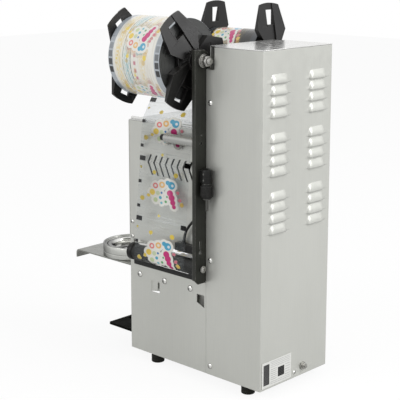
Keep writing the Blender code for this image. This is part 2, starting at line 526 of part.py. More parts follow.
def flange(name, k, phase, near, side):
    """near is the face against the roll and side is the direction, along s, of the arms."""
    far = near + side * DISC_T
    cx, cz = k * AXIS_X, AXIS_Z
    ob = piece(name, BLACK, lambda bm: add_lathe(
        bm, [(SHAFT_R - 1, near), (DISC_R, near), (DISC_R, near + side * DISC_T / 2), (DISC_R - 5, far), (24, far),
             (20, near + side * HUB_T), (SHAFT_R - 1, near + side * HUB_T)], "s", (cx, cz), 44), at=(cx, near, cz))

    def arm(bm, angle):
        """A wedge: its outer face slopes down from the hub to the tip."""
        outline = [(cx + u, cz + v) for u, v in arm_outline(angle)]
        add_prism(bm, outline, "s", *sorted((near + side * 0.6, near + side * ARM_T)))
        for v in bm.verts:
            if abs(v.co.y - near) > ARM_T / 2:
                a = math.radians(angle)
                r = (v.co.x - cx) * math.cos(a) + (v.co.z - cz) * math.sin(a)
                v.co.y = near + side * (ARM_T + (ARM_TIP_T - ARM_T) * r / PETAL_R)

    for i in range(3):
        join(ob, lambda bm, i=i: arm(bm, phase + 120 * i), f"arm{i}")

    def holes(bm):
        add_rod(bm, "s", (cx, cz), SHAFT_R + GAP, near - side * 20, near + side * 40, 32)
        tip, root, half = PETAL_R - ARM_TIP, PETAL_R - ARM_TIP - ARM_SLOT, ARM_SLOT_W / 2
        for i in range(3):
            corners = [turned(phase + 120 * i, r, v) for r, v in
                       ((root, -half), (tip, -half), (tip, half), (root, half))]
            add_prism(bm, [(cx + p, cz + q) for p, q in corners], "s", *sorted((near - side * 5, near + side * 30)))
    cut(ob, holes)
    return ob


for reel, k, phase in (("supply", 1, SUPPLY_PHASE), ("takeup", -1, TAKEUP_PHASE)):
    flange(f"{reel}_flange_rear", k, phase, ROLL_S[0] - GAP, -1)
    flange(f"{reel}_flange_front", k, phase, ROLL_S[1] + GAP, 1)

# Upper guide tubes, fixed to the posts.
both("guide_tube", ALLOY, lambda bm, k: add_lathe(
    bm, [(0, POST_S - 1), (GUIDE_PIN, POST_S - 1), (GUIDE_PIN, POST_S + 6), (GUIDE_R, POST_S + 6),
         (GUIDE_R, POST_S + 5 + GUIDE_LEN), (GUIDE_R - 1, POST_S + 6 + GUIDE_LEN), (0, POST_S + 6 + GUIDE_LEN)],
    "s", (k * GUIDE_X, GUIDE_Z), 24))

# Lower rollers: a fixed axle in the post and a turning body with an end cap and a ribbed sleeve.
SLEEVE_L, CAP_L, RIBS = 16.0, 9.0, 3
roller_s, roller_f = SLOT_S[0] + 0.9, SLOT_S[1] - 7.0
both("roller_axle", CHROME, lambda bm, k: add_lathe(
    bm, [(0, POST_S - 3), (AXLE_R + 3, POST_S - 3), (AXLE_R + 3, POST_S - GAP), (AXLE_R, POST_S - GAP),
         (AXLE_R, roller_f - 2), (0, roller_f - 2)], "s", (k * ROLLER_X, ROLLER_Z), 20))


def roller(bm, k):
    bore = AXLE_R + GAP
    profile = [(0, roller_f - 2 + GAP), (bore, roller_f - 2 + GAP), (bore, roller_s)]
    pitch = (SLEEVE_L - 1) / RIBS
    for i in range(RIBS):
        h = roller_s + i * pitch
        profile += [(SLEEVE_R, h), (SLEEVE_R, h + 2.6), (SLEEVE_R - 2.4, h + 3.2), (SLEEVE_R - 2.4, h + pitch - 0.2)]
    profile += [(ROLLER_R, roller_s + SLEEVE_L), (ROLLER_R, roller_f - CAP_L - 1), (CAP_R, roller_f - CAP_L),
                (CAP_R, roller_f), (0, roller_f)]
    add_lathe(bm, profile, "s", (k * ROLLER_X, ROLLER_Z), 28)


both("film_roller", RUBBER, roller, at=(ROLLER_X, roller_s, ROLLER_Z))

# Film web: supply roll, head's edge, guide, lower roller, across, and up the other side.
FILM_STEP = 0.8


def tangent(c1, r1, c2, r2):
    """Ends of the line that leaves circle 1 and meets circle 2.  A signed radius says on which
    side of the line, walking from 1 to 2, the circle lies: positive for the left."""
    dx, dz = c2[0] - c1[0], c2[1] - c1[1]
    a = math.atan2(dz, dx) + math.asin((r1 - r2) / math.hypot(dx, dz))
    n = (math.sin(a), -math.cos(a))
    return (c1[0] + n[0] * r1, c1[1] + n[1] * r1), (c2[0] + n[0] * r2, c2[1] + n[1] * r2)


def arc(c, r, start, end, steps):
    """Points on a circle, the short way round, from a start point to an end angle, and never
    nearer to each other than FILM_STEP: a slight bend is one point at its middle."""
    a = math.atan2(start[1] - c[1], start[0] - c[0])
    turn = (end - a + math.pi) % math.tau - math.pi
    steps = min(steps, int(abs(turn) * r / FILM_STEP))
    shares = [t / steps for t in range(steps + 1)] if steps else [0.5]
    return [(c[0] + r * math.cos(a + turn * t), c[1] + r * math.sin(a + turn * t)) for t in shares]


def half_path(roll_r):
    """One side's film path on the +X side, from the roll down to the lowest point of the roller."""
    stops = [((AXIS_X, AXIS_Z), roll_r), ((BAR_X, BAR_Z), -BAR_R), ((GUIDE_X, GUIDE_Z), GUIDE_R),
             ((ROLLER_X, ROLLER_Z), -ROLLER_R)]
    signed = [(c, q + math.copysign(FILM_CLEAR, q)) for c, q in stops]
    lines = [tangent(*a, *b) for a, b in zip(signed, signed[1:])]
    path = [lines[0][0]]
    for (c, q), before, after in zip(signed[1:], lines, lines[1:]):
        path += arc(c, abs(q), before[1], math.atan2(after[0][1] - c[1], after[0][0] - c[0]), 2)
    c, q = signed[-1]
    return path + arc(c, abs(q), lines[-1][1], -math.pi / 2, 5)


def ribbon(path, t):
    """Closed outline of thickness t about an open path."""
    left, right = [], []
    for i, (x, z) in enumerate(path):
        a, b = path[max(i - 1, 0)], path[min(i + 1, len(path) - 1)]
        dx, dz = b[0] - a[0], b[1] - a[1]
        n = (-dz / math.hypot(dx, dz) * t / 2, dx / math.hypot(dx, dz) * t / 2)
        left.append((x + n[0], z + n[1]))
        right.append((x - n[0], z - n[1]))
    return left + right[::-1]


film_path = half_path(SUPPLY_R) + [(-x, z) for x, z in reversed(half_path(TAKEUP_R))]
piece("film_web", FILM, lambda bm: add_prism(bm, ribbon(film_path, FILM_T), "s", *ROLL_S))

# Film mark sensor behind the web and its cable, which runs up into the case beside the post.
SENSOR_X, SENSOR_L, SENSOR_H, CABLE_R = 14.0, 54.0, 16.0, 2.6
sensor_s, sensor_z = ROLL_S[0] - 16.5, SLOT_Z[1] + 4.0
piece("film_sensor", BLACK, lambda bm: add_box(
    bm, (HALF_W + GAP, HALF_W + SENSOR_X), (sensor_s, sensor_s + SENSOR_L), (sensor_z, sensor_z + SENSOR_H)))
CABLE = [(8, 34, 0), (8, 33, 11), (8.5, 29, 23), (9.5, 22, 33), (10, 14, 42), (9.6, 5, 51), (8.8, -1, 61),
         (7.2, -4.5, 71), (5.8, -6, 78), (4.8, -7, 83), (4.4, -7.8, 87)]
wire("sensor_cable", BLACK, [
    (HALF_W + a, sensor_s + b, sensor_z + SENSOR_H + GAP + c) for a, b, c in CABLE], CABLE_R)

# Tension clamp behind the post: a block with a rod and collar, and a knob that turns on the rod.
CLAMP_W, CLAMP_D, CLAMP_H, CLAMP_Z, ROD_R, KNOB_R, KNOB_H = 24.0, 27.8, 28.0, 388.0, 3.0, 11.5, 27.8
rod_x, rod_s = HALF_W + 13.0, POST_S - GAP - CLAMP_D / 2
knob_low = CLAMP_Z - 0.6 - KNOB_H
block = piece("tension_block", BLACK, lambda bm: add_box(
    bm, (rod_x - CLAMP_W / 2, rod_x + CLAMP_W / 2), (POST_S - GAP - CLAMP_D, POST_S - GAP),
    (CLAMP_Z, CLAMP_Z + CLAMP_H)))
join(block, lambda bm: add_rod(bm, "z", (rod_x, rod_s), ROD_R, knob_low - 25, CLAMP_Z + 2, 16), "rod")
join(block, lambda bm: add_rod(bm, "z", (rod_x, rod_s), ROD_R + 4, knob_low - 2.6, knob_low - 0.6, 24), "collar")
piece("tension_knob", BLACK, lambda bm: add_lathe(
    bm, [(ROD_R + GAP, knob_low), (KNOB_R - 2, knob_low), (KNOB_R, knob_low + 2.4), (KNOB_R, CLAMP_Z - 4),
         (KNOB_R - 1, CLAMP_Z - 0.6), (ROD_R + GAP, CLAMP_Z - 0.6)], "z", (rod_x, rod_s), 24),
      at=(rod_x, rod_s, knob_low))

# Cup tray with its down-turned front lip and two arms that run into the tower.
tray_front, tray_rear = RING_S + TRAY_NOSE, RING_S - TRAY_TAIL


def tray_section():
    """Tray plate and rolled lip, in (s, z)."""
    cs, cz = tray_front - LIP_R, TRAY_Z + TRAY_T - LIP_R
    turn = [math.radians(a) for a in range(0, 91, 15)]
    outer = [(cs + LIP_R * math.sin(a), cz + LIP_R * math.cos(a)) for a in turn]
    r = LIP_R - TRAY_T
    inner_arc = [(cs + r * math.sin(a), cz + r * math.cos(a)) for a in reversed(turn)]
    low = TRAY_Z + TRAY_T - LIP_DROP
    return ([(tray_rear, TRAY_Z), (tray_rear, TRAY_Z + TRAY_T)] + outer
            + [(tray_front, low), (tray_front - TRAY_T, low)]
            + inner_arc)


cup_tray = piece("cup_tray", STEEL, lambda bm: add_prism(bm, tray_section(), "x", -TRAY_HALF, TRAY_HALF))
join(cup_tray, lambda bm: [add_box(bm, span(k, TRAY_HALF - ARM_W, TRAY_HALF), (tray_rear - ARM_LEN, tray_rear + 4),
                                   (TRAY_Z, TRAY_Z + TRAY_T)) for k in (1, -1)], "arms")
cut(cup_tray, lambda bm: add_rod(bm, "z", (0, RING_S), RING_IN - 2, TRAY_Z - 10, TRAY_Z + 10, 64))
piece("cup_ring", ALLOY, lambda bm: add_lathe(
    bm, [(RING_IN + GAP + 0.1, RING_LOW), (RING_R, RING_LOW), (RING_R, RING_TOP - 1), (RING_R - 1, RING_TOP),
         (RING_R - 4, RING_TOP), (RING_R - 5, RING_TOP - 2), (RING_IN + GAP + 0.1, RING_TOP - 2)],
    "z", (0, RING_S), 48))
piece("cup_seat", CHROME, lambda bm: add_lathe(
    bm, [(SEAT_IN, RING_LOW + 6), (SEAT_IN + 4, RING_LOW + 1.6), (RING_IN - 3, RING_LOW), (RING_IN - 0.1, RING_LOW),
         (RING_IN - 0.1, RING_TOP - 4), (RING_IN - 1.2, RING_TOP - 2.6), (SEAT_IN + 5, RING_TOP - 2.6),
         (SEAT_IN, RING_TOP - 8)], "z", (0, RING_S), 48))

# Rails that carry the tray, fixed to the side panels.


def rail(bm, k):
    wall, low = INNER_W - GAP, TRAY_Z - 4
    pts = [(TRAY_HALF + 2, low), (wall, low), (wall, low + 12), (wall - 2, low + 12), (wall - 2, low + 2),
           (TRAY_HALF + 6, low + 2), (TRAY_HALF + 6, low + 5.6), (TRAY_HALF + 4, low + 5.6),
           (TRAY_HALF + 4, TRAY_Z - GAP), (TRAY_HALF - ARM_W + 2, TRAY_Z - GAP), (TRAY_HALF - ARM_W + 2, low)]
    add_prism(bm, [(k * a, b) for a, b in pts], "s", PANEL_F + 5.2, HEAD_D - SHEET - 2 * GAP)


both("tray_rail", STEEL, rail)

# Sealing head: fixed bridge with two columns, its motor, and the moving carriage with its heater.
carriage_half = HALF_W - 10.0
column_x = carriage_half - COLUMN_IN + 10.0
bridge = piece("head_bridge", STEEL, lambda bm: add_box(
    bm, (-INNER_W + GAP, INNER_W - GAP), (PANEL_F + 10.2, HEAD_D - 10), (BRIDGE_Z, BRIDGE_Z + BRIDGE_T)))
join(bridge, lambda bm: [add_rod(bm, "z", (k * column_x, SEAL_S), COLUMN_R, CARRIAGE_Z - HEAD_TRAVEL - 6,
                                 BRIDGE_Z + BRIDGE_T / 2, 24) for k in (1, -1)], "columns")
cut(bridge, lambda bm: add_rod(bm, "z", (0, SEAL_S), 9, BRIDGE_Z - 5, BRIDGE_Z + BRIDGE_T + 5, 32))
head = piece("head_carriage", ALLOY, lambda bm: add_box(
    bm, (-carriage_half, carriage_half), (SEAL_S - CARRIAGE_D / 2, SEAL_S + CARRIAGE_D / 2),
    (CARRIAGE_Z, CARRIAGE_Z + CARRIAGE_T)))
cut(head, lambda bm: [add_rod(bm, "z", (k * column_x, SEAL_S), COLUMN_R + GAP, CARRIAGE_Z - 5,
                              CARRIAGE_Z + CARRIAGE_T + 5, 24) for k in (1, -1)])
cut_z = FILM_Z + SEAL_GAP
block_z = cut_z + CUTTER_H + HEATER_H
piece("seal_heater", ALLOY, lambda bm: add_lathe(
    bm, [(0, cut_z + CUTTER_H), (CUTTER_R - 4, cut_z + CUTTER_H), (CUTTER_R - 4, cut_z), (CUTTER_R, cut_z),
         (CUTTER_R, block_z), (CUTTER_R + HEATER_WALL, block_z), (CUTTER_R + HEATER_WALL, block_z + BLOCK_H),
         (0, block_z + BLOCK_H)], "z", (0, SEAL_S), 36))
motor_z = BRIDGE_Z + BRIDGE_T + GAP
motor = piece("head_motor", BLACK, lambda bm: add_box(
    bm, (-MOTOR_BOX, MOTOR_BOX), (SEAL_S - MOTOR_BOX, SEAL_S + MOTOR_BOX), (motor_z, motor_z + MOTOR_BOX_H)))
join(motor, lambda bm: add_rod(bm, "z", (0, SEAL_S), MOTOR_R, motor_z + MOTOR_BOX_H - 1, MOTOR_TOP, 32), "can")
join(motor, lambda bm: add_rod(bm, "z", (0, SEAL_S), 6, motor_z - 18, motor_z + 2, 24), "shaft")

# Power parts inside the tower.
CORE_HALF, CORE_H, CORE_D, COIL_HALF, COIL_D = 52.0, 90.0, 40.0, 32.0, 64.0
core_s = 28.0 + COIL_D / 2
core = piece("transformer", BLACK, lambda bm: add_box(
    bm, (-CORE_HALF, CORE_HALF), (core_s - CORE_D / 2, core_s + CORE_D / 2), (BASE_T + GAP, BASE_T + GAP + CORE_H)))
join(core, lambda bm: add_box(bm, (-COIL_HALF, COIL_HALF), (core_s - COIL_D / 2, core_s + COIL_D / 2),
                              (16, BASE_T + GAP + CORE_H - 14)), "coil")
BOARD_HALF, BOARD_T, BOARD_Z, BOARD_H, STANDOFF = 72.0, 2.0, 250.0, 170.0, 14.2
board_s = PANEL_S - STANDOFF
board = piece("control_board", BOARD, lambda bm: add_box(
    bm, (-BOARD_HALF, BOARD_HALF), (board_s - BOARD_T, board_s), (BOARD_Z, BOARD_Z + BOARD_H)))
join(board, lambda bm: [add_rod(bm, "s", (x, z), 3.5, board_s - BOARD_T / 2, PANEL_S - GAP, 12)
                        for x in (-BOARD_HALF + 6, BOARD_HALF - 6) for z in (BOARD_Z + 6, BOARD_Z + BOARD_H - 6)],
     "standoffs")
join(board, lambda bm: [add_box(bm, x, (board_s - BOARD_T - tall, board_s - BOARD_T / 2), (BOARD_Z + low, BOARD_Z + high))
                        for x, tall, low, high in (((-50, -20), 18, 20, 50), ((0, 40), 10, 80, 130),
                                                   ((-55, -30), 14, 100, 145))], "parts")
DRIVE_HALF, DRIVE_L, DRIVE_Z, DRIVE_H, DRIVE_R, DRIVE_CAN = 26.0, 42.0, 176.0, 50.0, 20.0, 46.0
drive = piece("tray_motor", ALLOY, lambda bm: add_box(
    bm, (-DRIVE_HALF, DRIVE_HALF), (PANEL_S - GAP - DRIVE_L, PANEL_S - GAP), (DRIVE_Z, DRIVE_Z + DRIVE_H)))
join(drive, lambda bm: add_rod(bm, "s", (0, DRIVE_Z + DRIVE_H / 2), DRIVE_R, PANEL_S - GAP - DRIVE_L - DRIVE_CAN,
                               PANEL_S - GAP - DRIVE_L + 2, 24), "can")

# Rear trim: blank rating plate and earth terminal; inlet and rocker switch on the -X side.
PLATE_W, PLATE_H, PLATE_EDGE, PLATE_Z, PLATE_T = 87.0, 51.0, 5.0, 4.0, 0.5
piece("rating_plate", LABEL, lambda bm: add_box(
    bm, (HALF_W - PLATE_EDGE - PLATE_W, HALF_W - PLATE_EDGE), (-GAP - PLATE_T, -GAP), (PLATE_Z, PLATE_Z + PLATE_H)))
EARTH_X, EARTH_Z, STUD_R = HALF_W - 128.0, 18.0, 3.0
earth = piece("earth_terminal", CHROME, lambda bm: add_rod(bm, "s", (EARTH_X, EARTH_Z), STUD_R + 5, -3.0, -GAP, 24))
join(earth, lambda bm: add_rod(bm, "s", (EARTH_X, EARTH_Z), STUD_R, -10.5, -2, 16), "stud")
join(earth, lambda bm: add_prism(bm, hexagon(EARTH_X, EARTH_Z, STUD_R + 3.4), "s", -7.5, -2.5), "nut")

plate_x = (-HALF_W - 3, -HALF_W - GAP)
inlet = piece("power_inlet", BLACK, lambda bm: add_box(
    bm, plate_x, (INLET_S - INLET_HALF - 6, INLET_S + INLET_HALF + 6),
    (INLET_Z - INLET_HALF_H - 8, SWITCH_Z + SWITCH_HALF_H + 7)))
for label, half_s, z, half_z, depth in (("socket", INLET_HALF, INLET_Z, INLET_HALF_H, 22),
                                        ("box", SWITCH_HALF, SWITCH_Z, SWITCH_HALF_H, 16)):
    join(inlet, lambda bm: add_box(bm, (-HALF_W - 1, -HALF_W + depth), (INLET_S - half_s + GAP, INLET_S + half_s - GAP),
                                   (z - half_z + GAP, z + half_z - GAP)), label)
cut(inlet, lambda bm: [add_box(bm, (-HALF_W - 10, -HALF_W + depth - 3), (INLET_S - half_s + 3, INLET_S + half_s - 3),
                               (z - half_z + 3, z + half_z - 3)) for half_s, z, half_z, depth in
                       ((INLET_HALF, INLET_Z, INLET_HALF_H, 22), (SWITCH_HALF, SWITCH_Z, SWITCH_HALF_H, 16))])
ROCKER_HALF, ROCKER_HALF_H = SWITCH_HALF - 5.5, SWITCH_HALF_H - 3.6
rocker_outline = [(-HALF_W - 5.5, INLET_S - ROCKER_HALF), (-HALF_W - 2.6, INLET_S), (-HALF_W - 3.4, INLET_S + ROCKER_HALF),
                  (-HALF_W + 3, INLET_S + ROCKER_HALF - 0.5), (-HALF_W + 6, INLET_S),
                  (-HALF_W + 3, INLET_S - ROCKER_HALF + 0.5)]
piece("power_rocker", BLACK, lambda bm: add_prism(
    bm, rocker_outline, "z", SWITCH_Z - ROCKER_HALF_H, SWITCH_Z + ROCKER_HALF_H),
      at=(-HALF_W + 3, INLET_S, SWITCH_Z))
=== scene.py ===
"""Cup sealing machine: the looks of its pieces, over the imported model.

Sizes in the sections are millimetres: x across from the machine's mid-plane, s forward from the
rear cover's face, z up from the underside of the steel case.
"""
import math

import bmesh
import bpy
from mathutils import Matrix, Vector


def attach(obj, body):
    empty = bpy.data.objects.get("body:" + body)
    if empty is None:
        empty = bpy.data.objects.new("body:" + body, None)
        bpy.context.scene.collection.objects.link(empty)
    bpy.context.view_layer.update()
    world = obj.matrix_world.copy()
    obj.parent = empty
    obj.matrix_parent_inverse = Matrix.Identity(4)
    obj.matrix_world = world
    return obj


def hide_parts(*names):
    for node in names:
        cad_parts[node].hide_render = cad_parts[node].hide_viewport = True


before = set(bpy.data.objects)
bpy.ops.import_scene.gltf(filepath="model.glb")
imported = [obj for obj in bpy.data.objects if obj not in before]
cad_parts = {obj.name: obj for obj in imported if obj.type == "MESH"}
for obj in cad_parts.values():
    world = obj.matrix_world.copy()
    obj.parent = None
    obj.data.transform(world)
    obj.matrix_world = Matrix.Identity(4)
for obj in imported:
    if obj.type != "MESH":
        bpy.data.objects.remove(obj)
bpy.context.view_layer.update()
scene = bpy.context.scene
scene.view_settings.view_transform = "Standard"

# Studio: a white floor that keeps a light shadow, a white surround that metal can show, two large
# soft lamps high behind the camera's right and left, and the camera at the photograph's angle.


def tone(red, green, blue):
    """Linear colour of a screen colour given from 0 to 255."""
    return [c / 255 / 12.92 if c < 10 else ((c / 255 + 0.055) / 1.055) ** 2.4 for c in (red, green, blue)] + [1.0]


def feed(tree, node, sockets):
    """Gives a node's inputs their values, or links to the sockets that are given instead."""
    for key, value in sockets.items():
        if isinstance(value, bpy.types.NodeSocket):
            tree.links.new(value, node.inputs[key])
        else:
            node.inputs[key].default_value = value
    return node


def put(tree, kind, sockets=None, **settings):
    """A new node with its settings and its inputs."""
    made = tree.nodes.new(kind)
    for key, value in settings.items():
        setattr(made, key, value)
    return feed(tree, made, sockets or {})


def calc(tree, how, *values):
    """What a Math node makes of its values."""
    return put(tree, "ShaderNodeMath", dict(enumerate(values)), operation=how).outputs[0]


def seen_rays(tree):
    """1 for the rays that the eye sees straight, mirrored or through glass."""
    path = put(tree, "ShaderNodeLightPath").outputs
    return calc(tree, "MAXIMUM", calc(tree, "MAXIMUM", path["Is Camera Ray"], path["Is Glossy Ray"]),
        path["Is Transmission Ray"])


def new_look(name):
    """A new material with its node tree and its Principled shader."""
    look = bpy.data.materials.new(name)
    look.use_nodes = True
    return look, look.node_tree, look.node_tree.nodes["Principled BSDF"]


world = bpy.data.worlds.new("surround")
scene.world = world
world.use_nodes = True
tree = world.node_tree
white, lit_strength, seen_strength = tone(255, 255, 255), 0.52, 1.0
plain = put(tree, "ShaderNodeBackground", {"Color": white, "Strength": lit_strength})
shown = put(tree, "ShaderNodeBackground", {"Color": white, "Strength": seen_strength})
both = put(tree, "ShaderNodeMixShader", {0: seen_rays(tree), 1: plain.outputs[0], 2: shown.outputs[0]})
feed(tree, tree.nodes["World Output"], {"Surface": both.outputs[0]})

floor_half, floor_glow = 7.0, 1.11
bm = bmesh.new()
bmesh.ops.create_grid(bm, x_segments=4, y_segments=4, size=floor_half)
floor_mesh = bpy.data.meshes.new("floor")
bm.to_mesh(floor_mesh)
bm.free()
floor = bpy.data.objects.new("floor", floor_mesh)
scene.collection.objects.link(floor)
floor_look, tree, paper = new_look("floor_white")
feed(tree, paper, {"Base Color": tone(206, 206, 206), "Roughness": 0.9})
glow = put(tree, "ShaderNodeEmission", {"Color": white, "Strength": floor_glow})
eye_ray = put(tree, "ShaderNodeLightPath").outputs["Is Camera Ray"]
share = calc(tree, "MULTIPLY_ADD", eye_ray, 0.5, calc(tree, "MULTIPLY", seen_rays(tree), 0.3))
blend = put(tree, "ShaderNodeMixShader", {0: share, 1: paper.outputs[0], 2: glow.outputs[0]})
feed(tree, tree.nodes["Material Output"], {"Surface": blend.outputs[0]})
floor.data.materials.append(floor_look)

for name, place, aim, size, power in (("lamp_back", (-1.0, 2.9, 2.1), (0, 0.1, 0.35), 2.2, 62.0),
        ("lamp_side", (3.0, -0.5, 2.1), (0, 0, 0.5), 1.8, 30.0)):
    lamp = bpy.data.lights.new(name, "AREA")
    lamp.shape, lamp.size, lamp.energy = "SQUARE", size, power
    holder = bpy.data.objects.new(name, lamp)
    holder.location = place
    holder.rotation_euler = (Vector(aim) - Vector(place)).to_track_quat("-Z", "Y").to_euler()
    scene.collection.objects.link(holder)

yaw, tilt, camera_at = -2.3796, 0.1852, (1.6205, 1.5692, 0.8520)
camera = bpy.data.cameras.new("camera")
camera.lens, camera.sensor_width, camera.shift_y, camera.clip_start = 99.88, 36.0, -0.12, 0.05
eye = bpy.data.objects.new("camera", camera)
eye.location = camera_at
gaze = Vector((math.cos(yaw) * math.cos(tilt), math.sin(yaw) * math.cos(tilt), -math.sin(tilt)))
eye.rotation_euler = gaze.to_track_quat("-Z", "Y").to_euler()
scene.collection.objects.link(eye)
scene.camera = eye

# Rear cover: one sheet of satin stainless steel, folded round the back and both sides, with
# twenty-four louvres pressed out of the back.  Small dome screws hold it to the case.
MM = 0.001
mid_x, face_y, case_z = 8, 284, 18


def placed_at(x, s, z):
    """The world's place of a point in millimetres."""
    return (mid_x + x) * MM, (face_y - s) * MM, (case_z + z) * MM


def node_group(name, inputs, outputs):
    """An empty shader node group: its inputs' defaults are one value, a vector of three or a colour of four."""
    made = bpy.data.node_groups.new(name, "ShaderNodeTree")
    for title, value in inputs.items():
        kind = "Float" if isinstance(value, float) else "Vector" if len(value) == 3 else "Color"
        made.interface.new_socket(title, in_out="INPUT", socket_type=f"NodeSocket{kind}").default_value = value
    for title in outputs:
        kind = "Color" if title == "Colour" else "Float"
        made.interface.new_socket(title, in_out="OUTPUT", socket_type=f"NodeSocket{kind}")
    return made, made.nodes.new("NodeGroupInput").outputs, made.nodes.new("NodeGroupOutput")


def vector(tree, how, *values):
    """What a Vector Math node makes of its vectors: a vector, or a number where that is the answer."""
    made = put(tree, "ShaderNodeVectorMath", dict(enumerate(values)), operation=how)
    return made.outputs["Value" if how in ("DISTANCE", "LENGTH", "DOT_PRODUCT") else "Vector"]


def scaled(tree, colour, level):
    """A colour made lighter or darker by a level round 1."""
    return put(tree, "ShaderNodeVectorMath", {0: colour, "Scale": level}, operation="SCALE").outputs[0]


def own_place(tree, middle=(0, 0, 0), stretch=(1, 1, 1)):
    """The piece's own coordinates in metres, from a middle and stretched per axis."""
    spot = put(tree, "ShaderNodeTexCoord").outputs["Object"]
    return vector(tree, "MULTIPLY", vector(tree, "SUBTRACT", spot, middle), stretch)


def noise(tree, place, scale, detail):
    """Cloudy noise between 0 and 1."""
    return put(tree, "ShaderNodeTexNoise", {"Vector": place, "Scale": scale, "Detail": detail}).outputs["Fac"]


def ramp(tree, value, low, high, to_low=0.0, to_high=1.0):
    """A value taken from one range to another and kept inside it."""
    ends = {"Value": value, "From Min": low, "From Max": high, "To Min": to_low, "To Max": to_high}
    return put(tree, "ShaderNodeMapRange", ends).outputs["Result"]


def mixed(tree, share, first, second, how="MIX"):
    """Two colours mixed by a share."""
    made = put(tree, "ShaderNodeMix", data_type="RGBA", blend_type=how)
    return feed(tree, made, {0: share, 6: first, 7: second}).outputs[2]


# The effects that several finishes share: satin rolling lines of sheet steel, the fine texture of moulded plastic,
# painted highlight on rounded edges (painted shade on the satin steel) broken in patches like wear, and dust that
# settles on what faces up.
black = tone(20, 20, 20)
satin, a, z = node_group("satin_lines", {"Colour": tone(190, 190, 185), "Cloud": 0.06, "Line": 0.05, "Rough": 0.4,
    "Along X": 0.0}, ("Colour", "Roughness", "Height"))
up, flat = (noise(satin, own_place(satin, stretch=stretch), 1.0, 2.0) for stretch in ((1500, 1500, 9),
    (9, 1500, 1500)))
line = put(satin, "ShaderNodeMix", {0: a["Along X"], 2: up, 3: flat}).outputs[0]
cloud = noise(satin, own_place(satin, stretch=(5, 5, 2.5)), 1.0, 3.0)
blot = noise(satin, own_place(satin, stretch=(60, 60, 45)), 1.0, 4.0)
shift = calc(satin, "MULTIPLY", ramp(satin, cloud, 0.3, 0.7, -1.0, 1.0), a["Cloud"])
fine = calc(satin, "MULTIPLY_ADD", ramp(satin, line, 0.3, 0.7, -1.0, 1.0), a["Line"], shift)
dull = calc(satin, "ADD", ramp(satin, blot, 0.35, 0.7, -0.05, 0.07), a["Rough"])
feed(satin, z, {"Colour": scaled(satin, a["Colour"], calc(satin, "ADD", fine, 1.0)),
    "Roughness": calc(satin, "MULTIPLY_ADD", fine, 0.5, dull), "Height": line})

moulded, a, z = node_group("moulded_texture", {"Colour": black, "Rough": 0.45, "Size": 1400.0},
    ("Colour", "Roughness", "Height"))
grain = noise(moulded, own_place(moulded), a["Size"], 2.0)
sweep = noise(moulded, own_place(moulded), 26.0, 3.0)
level = calc(moulded, "MULTIPLY", ramp(moulded, sweep, 0.3, 0.7, 0.82, 1.2), ramp(moulded, grain, 0.3, 0.7, 0.92,
    1.1))
dull = calc(moulded, "ADD", ramp(moulded, sweep, 0.3, 0.7, -0.07, 0.08), a["Rough"])
feed(moulded, z, {"Colour": scaled(moulded, a["Colour"], level), "Roughness": dull, "Height": grain})

# Painted edge light: the Bevel node finds rounded edges, which take the edge colour in patches. It is a highlight,
# and it is shade where the edge colour is darker.
edge_light_and_wear, a, z = node_group("painted_edge_light_and_wear", {"Colour": black, "Edge": tone(90, 90, 88), "Width": 0.0006,
    "Amount": 0.6}, ("Colour", "Mask"))
soft = put(edge_light_and_wear, "ShaderNodeBevel", {"Radius": a["Width"]}, samples=4).outputs[0]
turn = vector(edge_light_and_wear, "DOT_PRODUCT", soft, put(edge_light_and_wear, "ShaderNodeNewGeometry").outputs["Normal"])
patch = noise(edge_light_and_wear, own_place(edge_light_and_wear), 180.0, 3.0)
mask = calc(edge_light_and_wear, "MULTIPLY", ramp(edge_light_and_wear, turn, 0.995, 0.86), ramp(edge_light_and_wear, patch, 0.38, 0.62, 0.35, 1.0))
mask = calc(edge_light_and_wear, "MULTIPLY", mask, a["Amount"])
feed(edge_light_and_wear, z, {"Colour": mixed(edge_light_and_wear, mask, a["Colour"], a["Edge"]), "Mask": mask})

dusty, a, z = node_group("settled_dust", {"Colour": black, "Amount": 0.2}, ("Colour", "Mask"))
facing = put(dusty, "ShaderNodeSeparateXYZ",
    {0: put(dusty, "ShaderNodeNewGeometry").outputs["Normal"]}).outputs["Z"]
speck = noise(dusty, own_place(dusty), 320.0, 5.0)
mask = calc(dusty, "MULTIPLY", ramp(dusty, facing, 0.35, 0.95), ramp(dusty, speck, 0.4, 0.7, 0.2, 1.0))
mask = calc(dusty, "MULTIPLY", mask, a["Amount"])
feed(dusty, z, {"Colour": mixed(dusty, mask, a["Colour"], tone(176, 172, 164)), "Mask": mask})


def finish_of(name, colour, group, values, metallic=0.0, bump=0.0, depth=0.0002, edge=None, dust=0.0, coat=0.0,
        sheen=0.5):
    """A material of one shared effect, with painted light on its edges and dust where they are asked for."""
    look, tree, shader = new_look(name)
    base = put(tree, "ShaderNodeGroup", node_tree=group)
    feed(tree, base, {"Colour": tone(*colour)} | values)
    out = base.outputs["Colour"]
    # Painted highlight on the edges where the edge colour is lighter, painted shade where it is darker, broken in
    # patches like wear.
    if edge:
        worn = put(tree, "ShaderNodeGroup", node_tree=edge_light_and_wear)
        out = feed(tree, worn, {"Colour": out, "Edge": tone(*edge[0]), "Width": edge[1],
            "Amount": edge[2]}).outputs["Colour"]
    if dust:
        cover = put(tree, "ShaderNodeGroup", node_tree=dusty)
        out = feed(tree, cover, {"Colour": out, "Amount": dust}).outputs["Colour"]
    feed(tree, shader, {"Base Color": out, "Roughness": base.outputs["Roughness"], "Metallic": metallic,
        "Specular IOR Level": sheen})
    if coat:
        feed(tree, shader, {"Coat Weight": coat, "Coat Roughness": 0.2})
    if bump:
        relief = put(tree, "ShaderNodeBump", {"Height": base.outputs["Height"], "Strength": bump,
            "Distance": depth})
        feed(tree, shader, {"Normal": relief.outputs[0]})
    return look


